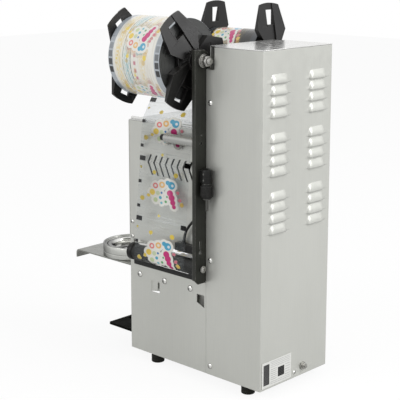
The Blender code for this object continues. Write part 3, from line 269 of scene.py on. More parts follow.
def add_piece(name, bm, body, look, stands_for=(), smooth=32, placed=False):
    """The finished object of a bmesh in millimetres, riding on its body."""
    if not placed:
        for v in bm.verts:
            v.co = placed_at(*v.co)
        bmesh.ops.remove_doubles(bm, verts=bm.verts, dist=0.000002)
        bmesh.ops.recalc_face_normals(bm, faces=bm.faces)
    mesh = bpy.data.meshes.new(name)
    bm.to_mesh(mesh)
    bm.free()
    mesh.shade_smooth()
    mesh.set_sharp_from_angle(angle=math.radians(smooth))
    mesh.materials.append(look)
    piece = bpy.data.objects.new(name, mesh)
    scene.collection.objects.link(piece)
    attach(piece, body)
    if stands_for:
        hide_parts(*stands_for)
    return piece


# Its edge colour is darker than the sheet: painted shade along the rounded edges and bends.
steel = finish_of("satin_steel", (206, 207, 201), satin, {"Cloud": 0.035, "Line": 0.03, "Rough": 0.36},
    metallic=0.45, bump=0.05, depth=0.00005, edge=((146, 147, 142), 0.0007, 0.6))


def on_circle(radius, degrees, high=None):
    """Points on a circle, or on an ellipse with another height, at angles in degrees."""
    spots = [math.radians(q) for q in degrees]
    return [(radius * math.cos(q), (high or radius) * math.sin(q)) for q in spots]


pressed_high, pressed_wide, pressed_out, bend = 17.5, 49.0, 4.5, 1.6
tops = [602.0 - 109.5 * group - 21.0 * row for group in range(3) for row in range(4)]
starts = (-80.5, 31.5)
columns = {x0 + pressed_wide * t for x0 in starts for t in (0, .02, .045, .08, .12, .17, .24, .33, .44, .56, .67,
    .76, .83, .88, .92, .955, .98, 1)}
across = sorted(columns | {-95.0, -18.0, 0.0, 18.0, 95.0})
half_wide = 102.0
corner = [(half_wide - bend + x, bend - s) for x, s in on_circle(bend, (0, 22, 45, 68, 90))]
side_run = [140.0, 139.2, 119.0, 118.2, 104.0, 78.0, 76.0, 52.0, 50.0, 20.0]
plan = [(half_wide, s) for s in side_run] + corner + [(x, 0.0) for x in reversed(across)]
plan += [(-x, s) for x, s in reversed(corner)] + [(-half_wide, s) for s in reversed(side_run)]
rows = {0.0, 0.8, 644.2, 602.2, 46.0, 70.0, 87.0, 103.0, 180.0, 270.0, 603.0, 625.0, 645.0}
for top in tops:
    lip = top - pressed_high
    rows |= {top - pressed_high * t for t in (0, .04, .1, .17, .25, .34, .45, .57, .7, .85)}
    rows |= {lip + 0.02, lip - 0.02, top + 0.8, lip - 0.8}
rows = sorted(rows)


def pressed(x, z):
    """How far the back stands out at a louvre: it swells downwards and stops at its lower lip."""
    for x0 in starts:
        for top in tops:
            t = (top - z) / pressed_high
            if 0 <= t <= 1:
                edge = min(x - x0, x0 + pressed_wide - x) - 5.0 * (1 - t) ** 2
                if edge > 0:
                    rise = min(edge / 6.5, 1.0)
                    swell = math.sin(min(t / 0.85, 1.0) * math.pi / 2)
                    return pressed_out * math.sin(rise * math.pi / 2) ** 0.8 * swell
    return 0.0


bm = bmesh.new()
bmesh.ops.create_grid(bm, x_segments=len(plan) - 1, y_segments=len(rows) - 1, size=0.5)
for v in bm.verts:
    x, s = plan[round((v.co.x + 0.5) * (len(plan) - 1))]
    z = rows[round((v.co.y + 0.5) * (len(rows) - 1))]
    v.co = (x, s - (pressed(x, z) if s == 0.0 and abs(x) < 90 else 0.0), z)
gone = []
for face in bm.faces:
    mid = face.calc_center_median()
    high = max(v.co.z for v in face.verts) - min(v.co.z for v in face.verts)
    if high < 0.05 and max(-v.co.y for v in face.verts) > 0.5:
        gone.append(face)
    if mid.y > 119 and mid.z > 603:
        gone.append(face)
    if mid.x < -101 and (50 < mid.y < 78 and 46 < mid.z < 70 or 52 < mid.y < 76 and 87 < mid.z < 103):
        gone.append(face)
bmesh.ops.delete(bm, geom=gone, context="FACES")
cover = add_piece("rear_cover_sheet", bm, "frame", steel, ["rear_cover"], smooth=40)
wall = cover.modifiers.new("sheet", "SOLIDIFY")
wall.thickness, wall.offset, wall.use_even_offset = 1.3 * MM, -1.0, False

# Top plate, inner panel and base plate: flat sheets of the same steel with cut corners and slots,
# deburred all round.  The top plate lies on the cover and the others are welded inside it.


def rounded(piece, width, steps, angle=30):
    """Rounds a piece's edges that are sharper than an angle."""
    made = piece.modifiers.new("edges", "BEVEL")
    made.width, made.segments, made.limit_method, made.angle_limit = width * MM, steps, "ANGLE", math.radians(angle)
    return made


def from_node(node):
    """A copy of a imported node's mesh with its doubled points merged."""
    bm = bmesh.new()
    bm.from_mesh(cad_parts[node].data)
    bmesh.ops.remove_doubles(bm, verts=bm.verts, dist=0.000003)
    return bm


def softened(node, body, look, width=0.4, steps=2, merge=True):
    """A CAD piece with its edges rounded, as sheet metal and moulded parts have them."""
    bm = from_node(node)
    if merge:
        bmesh.ops.dissolve_limit(bm, angle_limit=math.radians(0.6), verts=bm.verts, edges=bm.edges)
    piece = add_piece(f"{node}_shape", bm, body, look, [node], placed=True)
    rounded(piece, width, steps).miter_outer = "MITER_ARC"
    if not merge:
        piece.data.shade_flat()


# Its lighter edge colour is a painted highlight along the edges.
bright_steel = finish_of("bright_plate", (226, 226, 224), satin, {"Cloud": 0.05, "Line": 0.04, "Rough": 0.22},
    metallic=0.75, bump=0.04, depth=0.00005, edge=((250, 250, 248), 0.0007, 0.5), dust=0.04)
softened("top_plate", "frame", bright_steel, 0.35)
softened("inner_panel", "frame", steel, 0.3)
softened("base_plate", "frame", steel, 0.3)

# Side panels in front of the tower: the same satin sheet, with chevron vents, the film's slot and a
# hook tab that is cut on three sides and pushed inwards.  They are screwed to the case's frame.
tab_long, tab_high, tab_s, tab_z, tab_push = 22.4, 21.8, 282.2, 146.6, 9.0
for side, k in (("right", 1), ("left", -1)):
    softened(f"side_panel_{side}", "frame", steel, 0.3, merge=False)
    bm = bmesh.new()
    bmesh.ops.create_cube(bm, size=1.0, matrix=Matrix.Translation((k * 100.4, tab_s, tab_z))
        @ Matrix.Diagonal((1.2, tab_long, tab_high, 1)))
    long = [e for e in bm.edges if abs(e.verts[0].co.y - e.verts[1].co.y) > 1]
    bmesh.ops.subdivide_edges(bm, edges=long, cuts=6, use_grid_fill=True)
    for v in bm.verts:
        share = max(tab_s + tab_long / 2 - v.co.y, 0.0) / tab_long
        v.co.x -= k * tab_push * share ** 1.2
        v.co.z += (tab_z - v.co.z) * 0.16 * share
    add_piece(f"hook_tab_{side}", bm, "frame", steel)

# Top cover of the head: a bright sheet whose two long edges are rolled, so that the film slides
# over them without a scratch.
softened("head_top_cover", "frame", bright_steel, 0.3)

# Front fascia: satin sheet with a glossy black control overlay, a tinted display window and three
# push buttons.  The photograph doesn't show it, so it is kept plain.
softened("front_fascia", "frame", steel, 0.3)
# The lighter edge colour is a painted highlight along the overlay's edges.
gloss_black = finish_of("overlay_gloss", (24, 25, 27), moulded, {"Rough": 0.16, "Size": 500.0}, coat=0.5,
    edge=((70, 70, 72), 0.0004, 0.4))
softened("control_overlay", "frame", gloss_black, 0.5, 3)
window = finish_of("display_tint", (52, 18, 16), moulded, {"Rough": 0.08, "Size": 300.0}, coat=0.8)
softened("display_window", "frame", window, 0.5, 3)
for node, colour, body, slot in (("start_button", (34, 150, 70), "button_start", "green_plastic"),
        ("mode_button", (40, 40, 42), "button_mode", "black_plastic"), ("stop_button", (196, 38, 34), "button_stop",
        "red_plastic")):
    # The lighter edge colour is a painted highlight along each button's edges.
    look = finish_of(f"{node}_plastic", colour, moulded, {"Rough": 0.34, "Size": 900.0}, bump=0.06,
        edge=([min(c + 60, 255) for c in colour], 0.0005, 0.5))
    softened(node, body, look, 0.9, 3)

# Roll posts: 3 mm steel folded along the outer edge and painted dark grey.  They are bolted to the
# tower's front and carry the roll shafts, the guide tubes and the lower rollers.
# The light edge colour is a painted highlight along the post's edges and lip.
paint = finish_of("post_paint", (46, 47, 42), moulded, {"Rough": 0.42, "Size": 900.0}, metallic=0.15, bump=0.1,
    edge=((178, 178, 172), 0.0009, 0.75), dust=0.06, sheen=0.35)


def carved(bm, tool, how="DIFFERENCE"):
    """One mesh cut by, or joined to, another; both are used up."""
    holders = []
    for part in (bm, tool):
        bmesh.ops.remove_doubles(part, verts=part.verts, dist=0.001)
        bmesh.ops.recalc_face_normals(part, faces=part.faces)
        mesh = bpy.data.meshes.new("work")
        part.to_mesh(mesh)
        part.free()
        holders.append(bpy.data.objects.new("work", mesh))
        scene.collection.objects.link(holders[-1])
    work = holders[0].modifiers.new("cut", "BOOLEAN")
    work.operation, work.solver, work.object = how, "EXACT", holders[1]
    bpy.context.view_layer.update()
    result = bmesh.new()
    result.from_mesh(holders[0].evaluated_get(bpy.context.evaluated_depsgraph_get()).to_mesh())
    for holder in holders:
        bpy.data.meshes.remove(holder.data)
    return result


def spun(bm, verts, degrees, axis="Y", about=(0, 0)):
    """Turns points about an axis; the place of one along s is given by its x and z."""
    turn = Matrix.Rotation(math.radians(degrees), 3, axis)
    bmesh.ops.rotate(bm, verts=verts, cent=(about[0], 0, about[1]), matrix=turn)


def block(bm, x, s, z, spin=0.0, about=(0, 0)):
    """A box between pairs of limits, turned by degrees about an axis along s."""
    size = Matrix.Diagonal([abs(p[1] - p[0]) for p in (x, s, z)] + [1])
    middle = Matrix.Translation([sum(p) / 2 for p in (x, s, z)])
    made = bmesh.ops.create_cube(bm, size=1.0, matrix=middle @ size)["verts"]
    if spin:
        spun(bm, made, -spin, about=about)
    return made


def with_block(bm, x, s, z, spin=0.0, about=(0, 0), how="DIFFERENCE"):
    """One mesh with a box cut from it, or joined to it."""
    tool = bmesh.new()
    block(tool, x, s, z, spin, about)
    return carved(bm, tool, how)


top_corner = (((116.0, 131.9), (140.25, 143.15), (627.0, 639.8)), ((128.95, 131.95), (141.3, 148.15),
    (618.0, 639.7)), ((104.0, 129.5), (142.0, 146.0), (637.6, 639.75)))
for side, k in (("right", 1), ("left", -1)):
    bm = from_node(f"roll_post_{side}")
    for v in bm.verts:
        v.co = (v.co.x / MM - mid_x, face_y - v.co.y / MM, v.co.z / MM - case_z)
    for x, s, z in top_corner:
        bm = with_block(bm, sorted((k * x[0], k * x[1])), s, z, how="UNION")
    rounded(add_piece(f"roll_post_sheet_{side}", bm, "frame", paint, [f"roll_post_{side}"]), 0.5, 3)

# Roll shafts: the supply shaft is a fixed bright rod with a threaded rear end, a washer and a
# hexagon nut behind the post and a brake spring in front of it.  A small gear motor, clamped to the
# far post, turns the take-up shaft.
axis_x, axis_z = 114.0, 620.0


def turned(bm, profile, axis, at, steps=64):
    """Spins (radius, height) pairs about an axis; a profile off the axis is closed first."""
    p, q = at
    centre, line = {"s": ((p, 0, q), (0, 1, 0)), "z": ((p, q, 0), (0, 0, 1)), "x": ((0, p, q), (1, 0, 0))}[axis]
    spots = {"s": [(p + r, h, q) for r, h in profile], "z": [(p + r, q, h) for r, h in profile],
        "x": [(h, p + r, q) for r, h in profile]}[axis]
    verts = [bm.verts.new(spot) for spot in spots]
    edges = [bm.edges.new(pair) for pair in zip(verts, verts[1:])]
    if profile[0][0] or profile[-1][0]:
        edges.append(bm.edges.new((verts[-1], verts[0])))
    bmesh.ops.spin(bm, geom=verts + edges, cent=centre, axis=line, angle=math.tau, steps=steps, use_merge=True)
    bmesh.ops.remove_doubles(bm, verts=bm.verts, dist=0.001)


def six_sided(bm, x, z, r, low, high, chamfer=1.0):
    """A hexagon nut or head along s, with its corners turned off."""
    place = Matrix.Translation((x, low, z)) @ Matrix.Rotation(math.pi / 2, 4,
        "X") @ Matrix.Rotation(math.radians(30), 4, "Z")
    made = bmesh.ops.create_circle(bm, cap_ends=True, segments=6, radius=r, matrix=place)
    grown = bmesh.ops.extrude_face_region(bm, geom=list({f for v in made["verts"] for f in v.link_faces}),
        use_keep_orig=True)
    bmesh.ops.translate(bm, verts=[v for v in grown["geom"] if isinstance(v, bmesh.types.BMVert)],
        vec=(0, high - low, 0))
    rims = {e for v in made["verts"] for f in v.link_faces for e in f.edges}
    rims |= {e for e in bm.edges if all(abs(v.co.y - high) < 1e-4 for v in e.verts)}
    rims = [e for e in rims if abs(e.verts[0].co.y - e.verts[1].co.y) < 1e-4 and math.hypot(e.verts[0].co.x - x,
        e.verts[0].co.z - z) > r * 0.9]
    bmesh.ops.bevel(bm, geom=rims, offset=chamfer, segments=2, affect="EDGES", profile=0.5, material=-1)


def fluted(bm, axis, at, radius, sunk, margin, depth):
    """Sinks faces of a turned surface one by one; sunk says which, counted round the axis."""
    along, other = {"s": (1, 2), "z": (2, 1)}[axis]
    spots = {f: (f.calc_center_median().x - at[0], f.calc_center_median()[other] - at[1]) for f in bm.faces
        if abs(f.normal[along]) < 0.2}
    ring = [f for f, spot in spots.items() if abs(math.hypot(*spot) - radius) < 0.1]
    ring.sort(key=lambda f: math.atan2(spots[f][1], spots[f][0]))
    bmesh.ops.inset_individual(bm, faces=[f for i, f in enumerate(ring) if sunk(i)], thickness=margin, depth=depth)


# The light edge colour is a painted highlight along the plated parts' edges.
plated = finish_of("plated_metal", (170, 169, 165), satin, {"Cloud": 0.08, "Line": 0.04, "Rough": 0.2},
    metallic=0.95, bump=0.03, depth=0.00005, edge=((250, 249, 246), 0.0004, 0.6), dust=0.05)
threads = [(6.0, 141.0), (5.9, 139.5)]
for i in range(14):
    threads += [(5.25, 138.6 - 1.5 * i), (6.0, 137.9 - 1.5 * i)]
bm = bmesh.new()
turned(bm, [(0, 350.4), (5.2, 350.4), (6.0, 349.6)] + threads + [(5.2, 116.6), (4.4, 116.0), (0, 116.0)], "s",
    (axis_x, axis_z), 48)
add_piece("supply_shaft_rod", bm, "frame", plated, ["supply_shaft"])
bm = bmesh.new()
six_sided(bm, axis_x, axis_z, 11.0, 122.0, 131.4)
turned(bm, [(6.4, 121.2), (8.6, 121.2), (9.4, 122.0), (9.4, 132.0), (6.4, 132.0)], "s", (axis_x, axis_z), 48)
turned(bm, [(6.4, 131.9), (10.4, 131.9), (10.8, 132.3), (10.8, 133.5), (10.4, 133.9), (6.4, 133.9)], "s",
    (axis_x, axis_z), 48)
turned(bm, [(6.4, 133.8), (12.5, 133.8), (13.0, 134.3), (13.0, 139.2), (12.4, 139.7), (6.4, 139.7)], "s",
    (axis_x, axis_z), 64)
add_piece("supply_nut_washers", bm, "frame", plated, ["supply_nut"])
softened("takeup_shaft", "takeup_reel", plated, 0.5)
# The lighter edge colour is a painted highlight along the moulded edges.
black_moulded = finish_of("black_moulded", (16, 16, 15), moulded, {"Rough": 0.36, "Size": 1500.0}, bump=0.12,
    edge=((96, 95, 92), 0.001, 0.5), dust=0.03, sheen=0.3)
softened("takeup_gearmotor", "frame", black_moulded, 0.8, 3)
bm = bmesh.new()
turned(bm, [(6.4, 337.8), (14.4, 337.8), (16.0, 339.2), (16.0, 346.4), (14.8, 348.2), (8.0, 348.8), (6.4, 348.2)],
    "s", (axis_x, axis_z), 64)
fluted(bm, "s", (axis_x, axis_z), 16.0, lambda i: i % 2 == 0, 0.15, -0.7)
add_piece("supply_end_knob", bm, "frame", black_moulded, ["supply_end_nut"])


def wire(name, kind, points, radius, fineness, look, stands_for):
    """A fixed round wire or cable along points in millimetres."""
    curve = bpy.data.curves.new(name, "CURVE")
    curve.dimensions, curve.use_fill_caps = "3D", True
    curve.bevel_depth, curve.bevel_resolution = radius * MM, fineness
    run = curve.splines.new(kind)
    run.points.add(len(points) - 1)
    for point, place in zip(run.points, points):
        point.co = (*placed_at(*place), 1.0)
    if kind == "NURBS":
        run.use_endpoint_u, run.order_u, run.resolution_u = True, 3, 8
    piece = bpy.data.objects.new(name, curve)
    scene.collection.objects.link(piece)
    curve.materials.append(look)
    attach(piece, "frame")
    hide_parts(stands_for)


turns, each, low, high, coil_r = 3, 40, 144.4, 150.9, 10.5
coil = []
for i in range(turns * each + 1):
    angle = math.tau * i / each
    reach = coil_r if 2 < i < turns * each - 2 else coil_r - 0.3
    x, z = axis_x + reach * math.cos(angle), axis_z + reach * math.sin(angle)
    coil.append((x, low + (high - low) * i / (turns * each), z))
wire("brake_spring", "POLY", coil, 0.8, 4, plated, "supply_spring")

# Roll flanges: black moulded hubs with three wedge-shaped arms that reach past the roll and carry one
# slot each.  A pair clamps each roll, and the hub's collar slides on the shaft.
# The lighter edge colour is a painted highlight along the flange arms' edges.
flange_black = finish_of("flange_black", (14, 13, 13), moulded, {"Rough": 0.34, "Size": 1100.0}, bump=0.15,
    edge=((112, 110, 108), 0.0012, 0.5), dust=0.08, sheen=0.4)
arm_r, arm_top, arm_fall, collar_r = 98.0, 21.0, 18.5, 6.4
spider = bmesh.new()
section = [(collar_r, 0), (35.4, 0), (36.0, 0.6), (36.0, 7.2), (35.2, 8.0), (26, 8.2), (22.6, 9.4), (20.6, 12.0),
    (20.2, 21.4), (19.6, 22.0), (13, 22.0), (12, 20.6), (collar_r, 20.6)]
turned(spider, section, "s", (0, 0), 96)
for i in range(3):
    tip = on_circle(arm_r, (16.5, 12, 8, 4, 0, -4, -8, -12, -16.5))
    flank = [(0, 10), (44.6, 40), (65.4, 35)]
    arm = bmesh.new()
    outline = flank + tip + [(u, -w) for u, w in reversed(flank)]
    foot = arm.faces.new([arm.verts.new((u, 0.6, w)) for u, w in outline])
    grown = bmesh.ops.extrude_face_region(arm, geom=[foot], use_keep_orig=True)
    for v in grown["geom"]:
        if isinstance(v, bmesh.types.BMVert):
            v.co.y = arm_top - arm_fall * v.co.x / arm_r + 0.06 * max(v.co.z, 0.0)
    for wide, tall, sink in (((16, 99), (-60, 9.3), 2.2), ((50.5, 53.5), (-26, -9.3), 3.4),
            ((52, 86), (-13.3, -12.7), 3.2)):
        tool = bmesh.new()
        for v in block(tool, wide, (0, 30), tall):
            if v.co.y < 10:
                v.co.y = arm_top - arm_fall * v.co.x / arm_r - sink * (1.12 - 0.0067 * v.co.x)
        arm = carved(arm, tool)
    spun(arm, arm.verts, -90 - 120 * i)
    spider = carved(spider, arm, "UNION")
for i in range(3):
    spider = with_block(spider, (54, 84), (-5, 30), (-10.2, 10.2), 90 + 120 * i)
for i in range(24):
    spider = with_block(spider, (18.8, 22.4), (12.5, 24), (-0.9, 0.9), 15 * i)
for reel, k, phase in (("supply", 1, 55.2), ("takeup", -1, 90.0)):
    for place, near, side in (("rear", 174.1, -1), ("front", 315.4, 1)):
        bm = spider.copy()
        spun(bm, bm.verts, 90 - phase)
        for v in bm.verts:
            v.co = (k * axis_x + v.co.x, near + side * v.co.y, axis_z + v.co.z)
        rounded(add_piece(f"{reel}_{place}_spider", bm, f"{reel}_reel", flange_black,
            [f"{reel}_flange_{place}"]), 0.5, 2, 28)
spider.free()

# Film rolls: printed sealing film wound on a card core.  Many clear layers add up to cream, with grey
# bands where the edge marks lie over one another and soft stripes where the print repeats.
print_pitch, web_start, web_wide = 122.0, 174.5, 140.5


def parts_of(tree, place):
    """The three parts of a vector, by their letters."""
    return put(tree, "ShaderNodeSeparateXYZ", {0: place}).outputs


def joined(tree, *parts):
    """A vector from its parts."""
    return put(tree, "ShaderNodeCombineXYZ", dict(enumerate(parts))).outputs[0]


motif, a, z = node_group("berry_print", {"Place": (0, 0, 0)}, ("Colour", "Mask"))
parts = parts_of(motif, a["Place"])
along = calc(motif, "WRAP", parts["Y"], print_pitch, 0.0)
wave = noise(motif, a["Place"], 0.35, 1.0)
spot = joined(motif, parts["X"], along)
ink, halo = tone(246, 245, 238), 0.0
for across, up, radius, colour in ((52, 78, 7.5, (86, 178, 214)), (60, 82, 4.5, (86, 178, 214)),
        (50, 78, 2.8, (236, 242, 244)), (54, 62, 6.5, (214, 62, 132)), (50, 54, 6.5, (214, 62, 132)),
        (47, 45, 5.5, (214, 62, 132)), (44, 37, 4.2, (214, 62, 132)), (72, 76, 6.2, (246, 196, 120)),
        (72, 76, 3.0, (246, 240, 226)), (86, 72, 5.6, (240, 130, 130)), (86, 72, 2.8, (246, 238, 230)),
        (92, 58, 6.0, (248, 216, 96)), (80, 58, 4.5, (214, 226, 190)), (72, 60, 2.2, (60, 130, 190)),
        (74, 50, 3.2, (90, 180, 206)), (71, 40, 2.6, (120, 196, 210)), (84, 44, 4.6, (210, 226, 176)),
        (62, 44, 2.6, (110, 180, 120)), (60, 54, 2.0, (110, 180, 120))):
    far = vector(motif, "DISTANCE", spot, (across, up, 0))
    halo = calc(motif, "MAXIMUM", halo, ramp(motif, far, radius + 5.2, radius + 4.6))
    ink = mixed(motif, ramp(motif, far, radius + 0.3, radius - 0.3), ink, tone(*colour))
for across, up, radius, colour in ((38, 66, 3.4, (226, 132, 146)), (33, 52, 3.8, (226, 132, 146)),
        (28, 44, 4.4, (240, 206, 110)), (100, 50, 3.6, (244, 214, 96)), (90, 98, 4.2, (246, 220, 96)),
        (44, 99, 5.0, (246, 218, 92)), (75, 13, 3.0, (246, 226, 120)), (113, 42, 5.0, (246, 218, 96)),
        (120, 104, 2.6, (246, 226, 120))):
    far = vector(motif, "DISTANCE", spot, (across, up, 0))
    ragged = calc(motif, "MULTIPLY_ADD", wave, 4.0, far)
    dot = ramp(motif, ragged, radius + 2.4, radius + 1.6)
    halo = calc(motif, "MAXIMUM", halo, dot)
    ink = mixed(motif, dot, ink, tone(*colour))
feed(motif, z, {"Colour": ink, "Mask": halo})


def inside(tree, value, low, high, soft=0.6):
    """1 between two limits, with soft ends."""
    rise, fall = ramp(tree, value, low - soft, low + soft), ramp(tree, value, high + soft, high - soft)
    return calc(tree, "MULTIPLY", rise, fall)


def both_true(tree, first, second):
    """Product of two masks."""
    return calc(tree, "MULTIPLY", first, second)


def roll_look(name, k, radius, paper, dark):
    """The look of a wound roll: side by place across and round it, ends by fine rings."""
    look, tree, shader = new_look(name)
    p = parts_of(tree, own_place(tree, placed_at(k * axis_x, web_start, axis_z), (1000 * k, -1000, 1000)))
    across = p["Y"]
    angle = calc(tree, "ARCTAN2", p["Z"], p["X"])
    round_it = calc(tree, "MULTIPLY", angle, -radius)
    shifted = calc(tree, "ADD", round_it, 152.0 if dark else 104.0)
    moved = calc(tree, "ADD", across, -20.0 if dark else 4.0)
    flat = joined(tree, moved, shifted)
    bands = noise(tree, vector(tree, "MULTIPLY", flat, (0.3, 0.02, 1.0)), 1.0, 4.0)
    spots = noise(tree, vector(tree, "MULTIPLY", flat, (0.5, 0.14, 1.0)), 1.0, 2.0)
    # The band noise lays lighter streaks round the roll: painted highlight.
    skin = mixed(tree, ramp(tree, bands, 0.3, 0.7), paper, tone(40, 40, 38) if dark else tone(250, 249, 243))
    broken = ramp(tree, spots, 0.44, 0.54)
    for low, high, colour, share in ((104, 120, (242, 210, 90), 0.62), (80, 96, (172, 214, 222), 0.85),
            (40, 54, (240, 212, 120), 0.5), (98.2, 99.8, (96, 124, 84), 0.9), (77.2, 79.2, (48, 84, 74), 0.95),
            (87.3, 88.8, (96, 150, 140), 0.7)):
        soft = 0.4 if high - low < 3 else 2.5
        torn = broken if soft > 1 else ramp(tree, spots, 0.3, 0.5)
        mask = both_true(tree, inside(tree, across, low, high, soft), torn)
        mask = both_true(tree, mask, 0.12 if dark else share)
        skin = mixed(tree, mask, skin, tone(*colour))
    dash = calc(tree, "WRAP", round_it, 15.0, 0.0)
    strip = both_true(tree, inside(tree, across, 64, 70, 1.0), inside(tree, dash, 2.5, 9.5, 1.2))
    strip = both_true(tree, strip, both_true(tree, inside(tree, round_it, -16, 60, 6.0), 0.0 if dark else 0.75))
    skin = mixed(tree, strip, skin, tone(196, 60, 104))
    for shift, share in ((6.0, 0.4), (3.0, 0.55), (-4.0, 0.5), (0.0, 0.95)):
        spot = vector(tree, "ADD", flat, (shift * 0.6, shift * 2.2, 0))
        stamp = put(tree, "ShaderNodeGroup", {"Place": spot}, node_tree=motif).outputs
        mask = both_true(tree, stamp["Mask"], share)
        if dark:
            mask = both_true(tree, mask, inside(tree, round_it, -132, -56, 2.0))
        deeper = stamp["Colour"]
        if share < 0.9:
            deeper = mixed(tree, 0.55, deeper, tone(196, 150, 80), "MULTIPLY")
        skin = mixed(tree, mask, skin, deeper)
    ends = calc(tree, "MAXIMUM", inside(tree, across, -1, 14.5, 0.5), inside(tree, across, 127.0, 142, 0.5))
    skin = mixed(tree, both_true(tree, ends, 0.85), skin, tone(60, 66, 72) if dark else tone(168, 178, 188))
    step = calc(tree, "WRAP", round_it, 15.5, 0.0)
    rims = calc(tree, "MAXIMUM", inside(tree, across, 1.8, 12.0, 0.4), inside(tree, across, 128.6, 138.6, 0.4))
    marks = both_true(tree, inside(tree, step, 1.2, 13.2, 0.4), rims)
    marks = both_true(tree, marks, inside(tree, round_it, -46, 31, 0.2))
    stair = calc(tree, "SNAP", round_it, 15.5)
    marks = both_true(tree, marks, ramp(tree, stair, -50, 6, 0.12, 1.0))
    skin = mixed(tree, marks, skin, tone(24, 25, 27))
    out = vector(tree, "LENGTH", joined(tree, p["X"], p["Z"]))
    rings = noise(tree, joined(tree, out), 2.2, 4.0)
    wound = mixed(tree, ramp(tree, rings, 0.35, 0.65), tone(26, 27, 27), tone(62, 63, 62))
    card = mixed(tree, ramp(tree, rings, 0.35, 0.65), tone(150, 120, 86), tone(178, 148, 110))
    wound = mixed(tree, ramp(tree, out, 22.2, 21.8), wound, card)
    relief = put(tree, "ShaderNodeBump", {"Height": bands, "Strength": 0.25, "Distance": 0.0003})
    feed(tree, shader, {"Base Color": mixed(tree, ramp(tree, out, radius - 0.5, radius - 0.25), wound, skin),
        "Roughness": ramp(tree, bands, 0.3, 0.7, 0.22, 0.4), "Coat Weight": 0.6, "Coat Roughness": 0.12,
        "Normal": relief.outputs[0]})
    return look


supply_r, takeup_r, core_r = 78.0, 43.0, 22.0
for reel, k, radius, paper, dark in (("supply", 1, supply_r, tone(240, 237, 226), False),
        ("takeup", -1, takeup_r, tone(20, 20, 19), True)):
    bm = bmesh.new()
    layers = [(18.2, 174.6), (21.6, 174.6), (21.9, 175.0)]
    step = (radius - 1.2 - core_r) / 9
    for i in range(9):
        rise = 0.25 * ((i * 7) % 3)
        layers += [(core_r + step * i, 174.7 + rise), (core_r + step * (i + 1) - 0.1, 174.7 + rise)]
    layers += [(radius - 0.5, 174.7), (radius, 175.2)]
    mirrored = [(r, 489.5 - h) for r, h in reversed(layers)]
    side_wall = [(radius, 175.2 + 139.1 * t) for t in (0.1, 0.3, 0.5, 0.7, 0.9)]
    turned(bm, layers + side_wall + mirrored, "s", (k * axis_x, axis_z), 128)
    add_piece(f"{reel}_film_roll", bm, f"{reel}_reel", roll_look(f"{reel}_roll_film", k, radius, paper, dark),
        [f"{reel}_roll"], smooth=20)

# Film web: one thin printed ribbon from the supply roll over the head's rolled edge, behind the guide
# tube, round the lower roller, across under the heater and up the far side to the take-up roll.
film_over = 0.65
guide_at, roller_at = (116.0, 463.0), (113.0, 215.5)


def tangent(c1, r1, c2, r2):
    """Ends of the straight run between two circles; a positive radius lies left of the run."""
    dx, dz = c2[0] - c1[0], c2[1] - c1[1]
    a = math.atan2(dz, dx) + math.asin((r1 - r2) / math.hypot(dx, dz))
    return [(c[0] + math.sin(a) * r, c[1] - math.cos(a) * r) for c, r in ((c1, r1), (c2, r2))]


def one_side(roll_r):
    """The web's centre line on one side, from its roll to the lowest point of the lower roller."""
    stops = [((axis_x, axis_z), roll_r), ((98.3, 488.8), -3.6 - film_over), (guide_at, 9.3 + film_over),
        (roller_at, -15.2 - film_over)]
    runs = [tangent(*c, *d) for c, d in zip(stops, stops[1:])]
    line = [runs[0][0]]
    for i, (c, r) in enumerate(stops[1:]):
        start = math.atan2(runs[i][1][1] - c[1], runs[i][1][0] - c[0])
        end = math.atan2(runs[i + 1][0][1] - c[1], runs[i + 1][0][0] - c[0]) if i < 2 else -math.pi / 2
        turn = (end - start + math.pi) % math.tau - math.pi
        steps = max(2, round(abs(turn) * abs(r) / 2.0))
        angles = [start + turn * t / steps for t in range(steps + 1)]
        line += [(c[0] + abs(r) * math.cos(q), c[1] + abs(r) * math.sin(q)) for q in angles]
    return line


line = one_side(supply_r) + [(-x, z) for x, z in reversed(one_side(takeup_r))]
walked = [0.0]
for p, q in zip(line, line[1:]):
    walked.append(walked[-1] + math.dist(p, q))
bm = bmesh.new()
chain = [bm.verts.new((x, web_start, z)) for x, z in line]
links = [bm.edges.new(pair) for pair in zip(chain, chain[1:])]
grown = bmesh.ops.extrude_edge_only(bm, edges=links)
bmesh.ops.translate(bm, verts=[v for v in grown["geom"] if isinstance(v, bmesh.types.BMVert)], vec=(0, web_wide, 0))
printed = bm.loops.layers.uv.new("print")
for face in bm.faces:
    for loop in face.loops:
        nearest = min(range(len(line)), key=lambda i: math.dist(line[i], (loop.vert.co.x, loop.vert.co.z)))
        loop[printed].uv = (walked[nearest] * MM, (loop.vert.co.y - web_start) * MM)
film_look, tree, shader = new_look("clear_printed_film")
spot = put(tree, "ShaderNodeUVMap", uv_map="print").outputs[0]
p = parts_of(tree, vector(tree, "MULTIPLY", spot, (1000, 1000, 0)))
run, wide = p["X"], p["Y"]
print_mid, half_pitch, print_wide = 69, 61.0, 1.3
stretched = calc(tree, "MULTIPLY_ADD", wide, 1 / print_wide, print_mid - print_mid / print_wide)
back = calc(tree, "SUBTRACT", half_pitch, run)
stamp = put(tree, "ShaderNodeGroup", {"Place": joined(tree, stretched, back)}, node_tree=motif).outputs
streak = noise(tree, vector(tree, "MULTIPLY", spot, (190, 9, 1)), 1.0, 3.0)
milk = noise(tree, vector(tree, "MULTIPLY", spot, (16, 14, 1)), 1.0, 2.0)
skin = mixed(tree, ramp(tree, streak, 0.42, 0.66), tone(206, 218, 222), tone(238, 245, 248))
skin = mixed(tree, stamp["Mask"], skin, stamp["Colour"])
see = calc(tree, "ADD", ramp(tree, milk, 0.35, 0.65, 0.04, 0.1), ramp(tree, streak, 0.52, 0.74, 0.0, 0.12))
see = calc(tree, "ADD", see, ramp(tree, run, 106.0, 98.0, 0.0, 0.12))
see = calc(tree, "MULTIPLY", see, ramp(tree, run, 306.0, 322.0, 1.0, 0.4))
see = calc(tree, "MAXIMUM", see, calc(tree, "MULTIPLY", stamp["Mask"], 0.84))
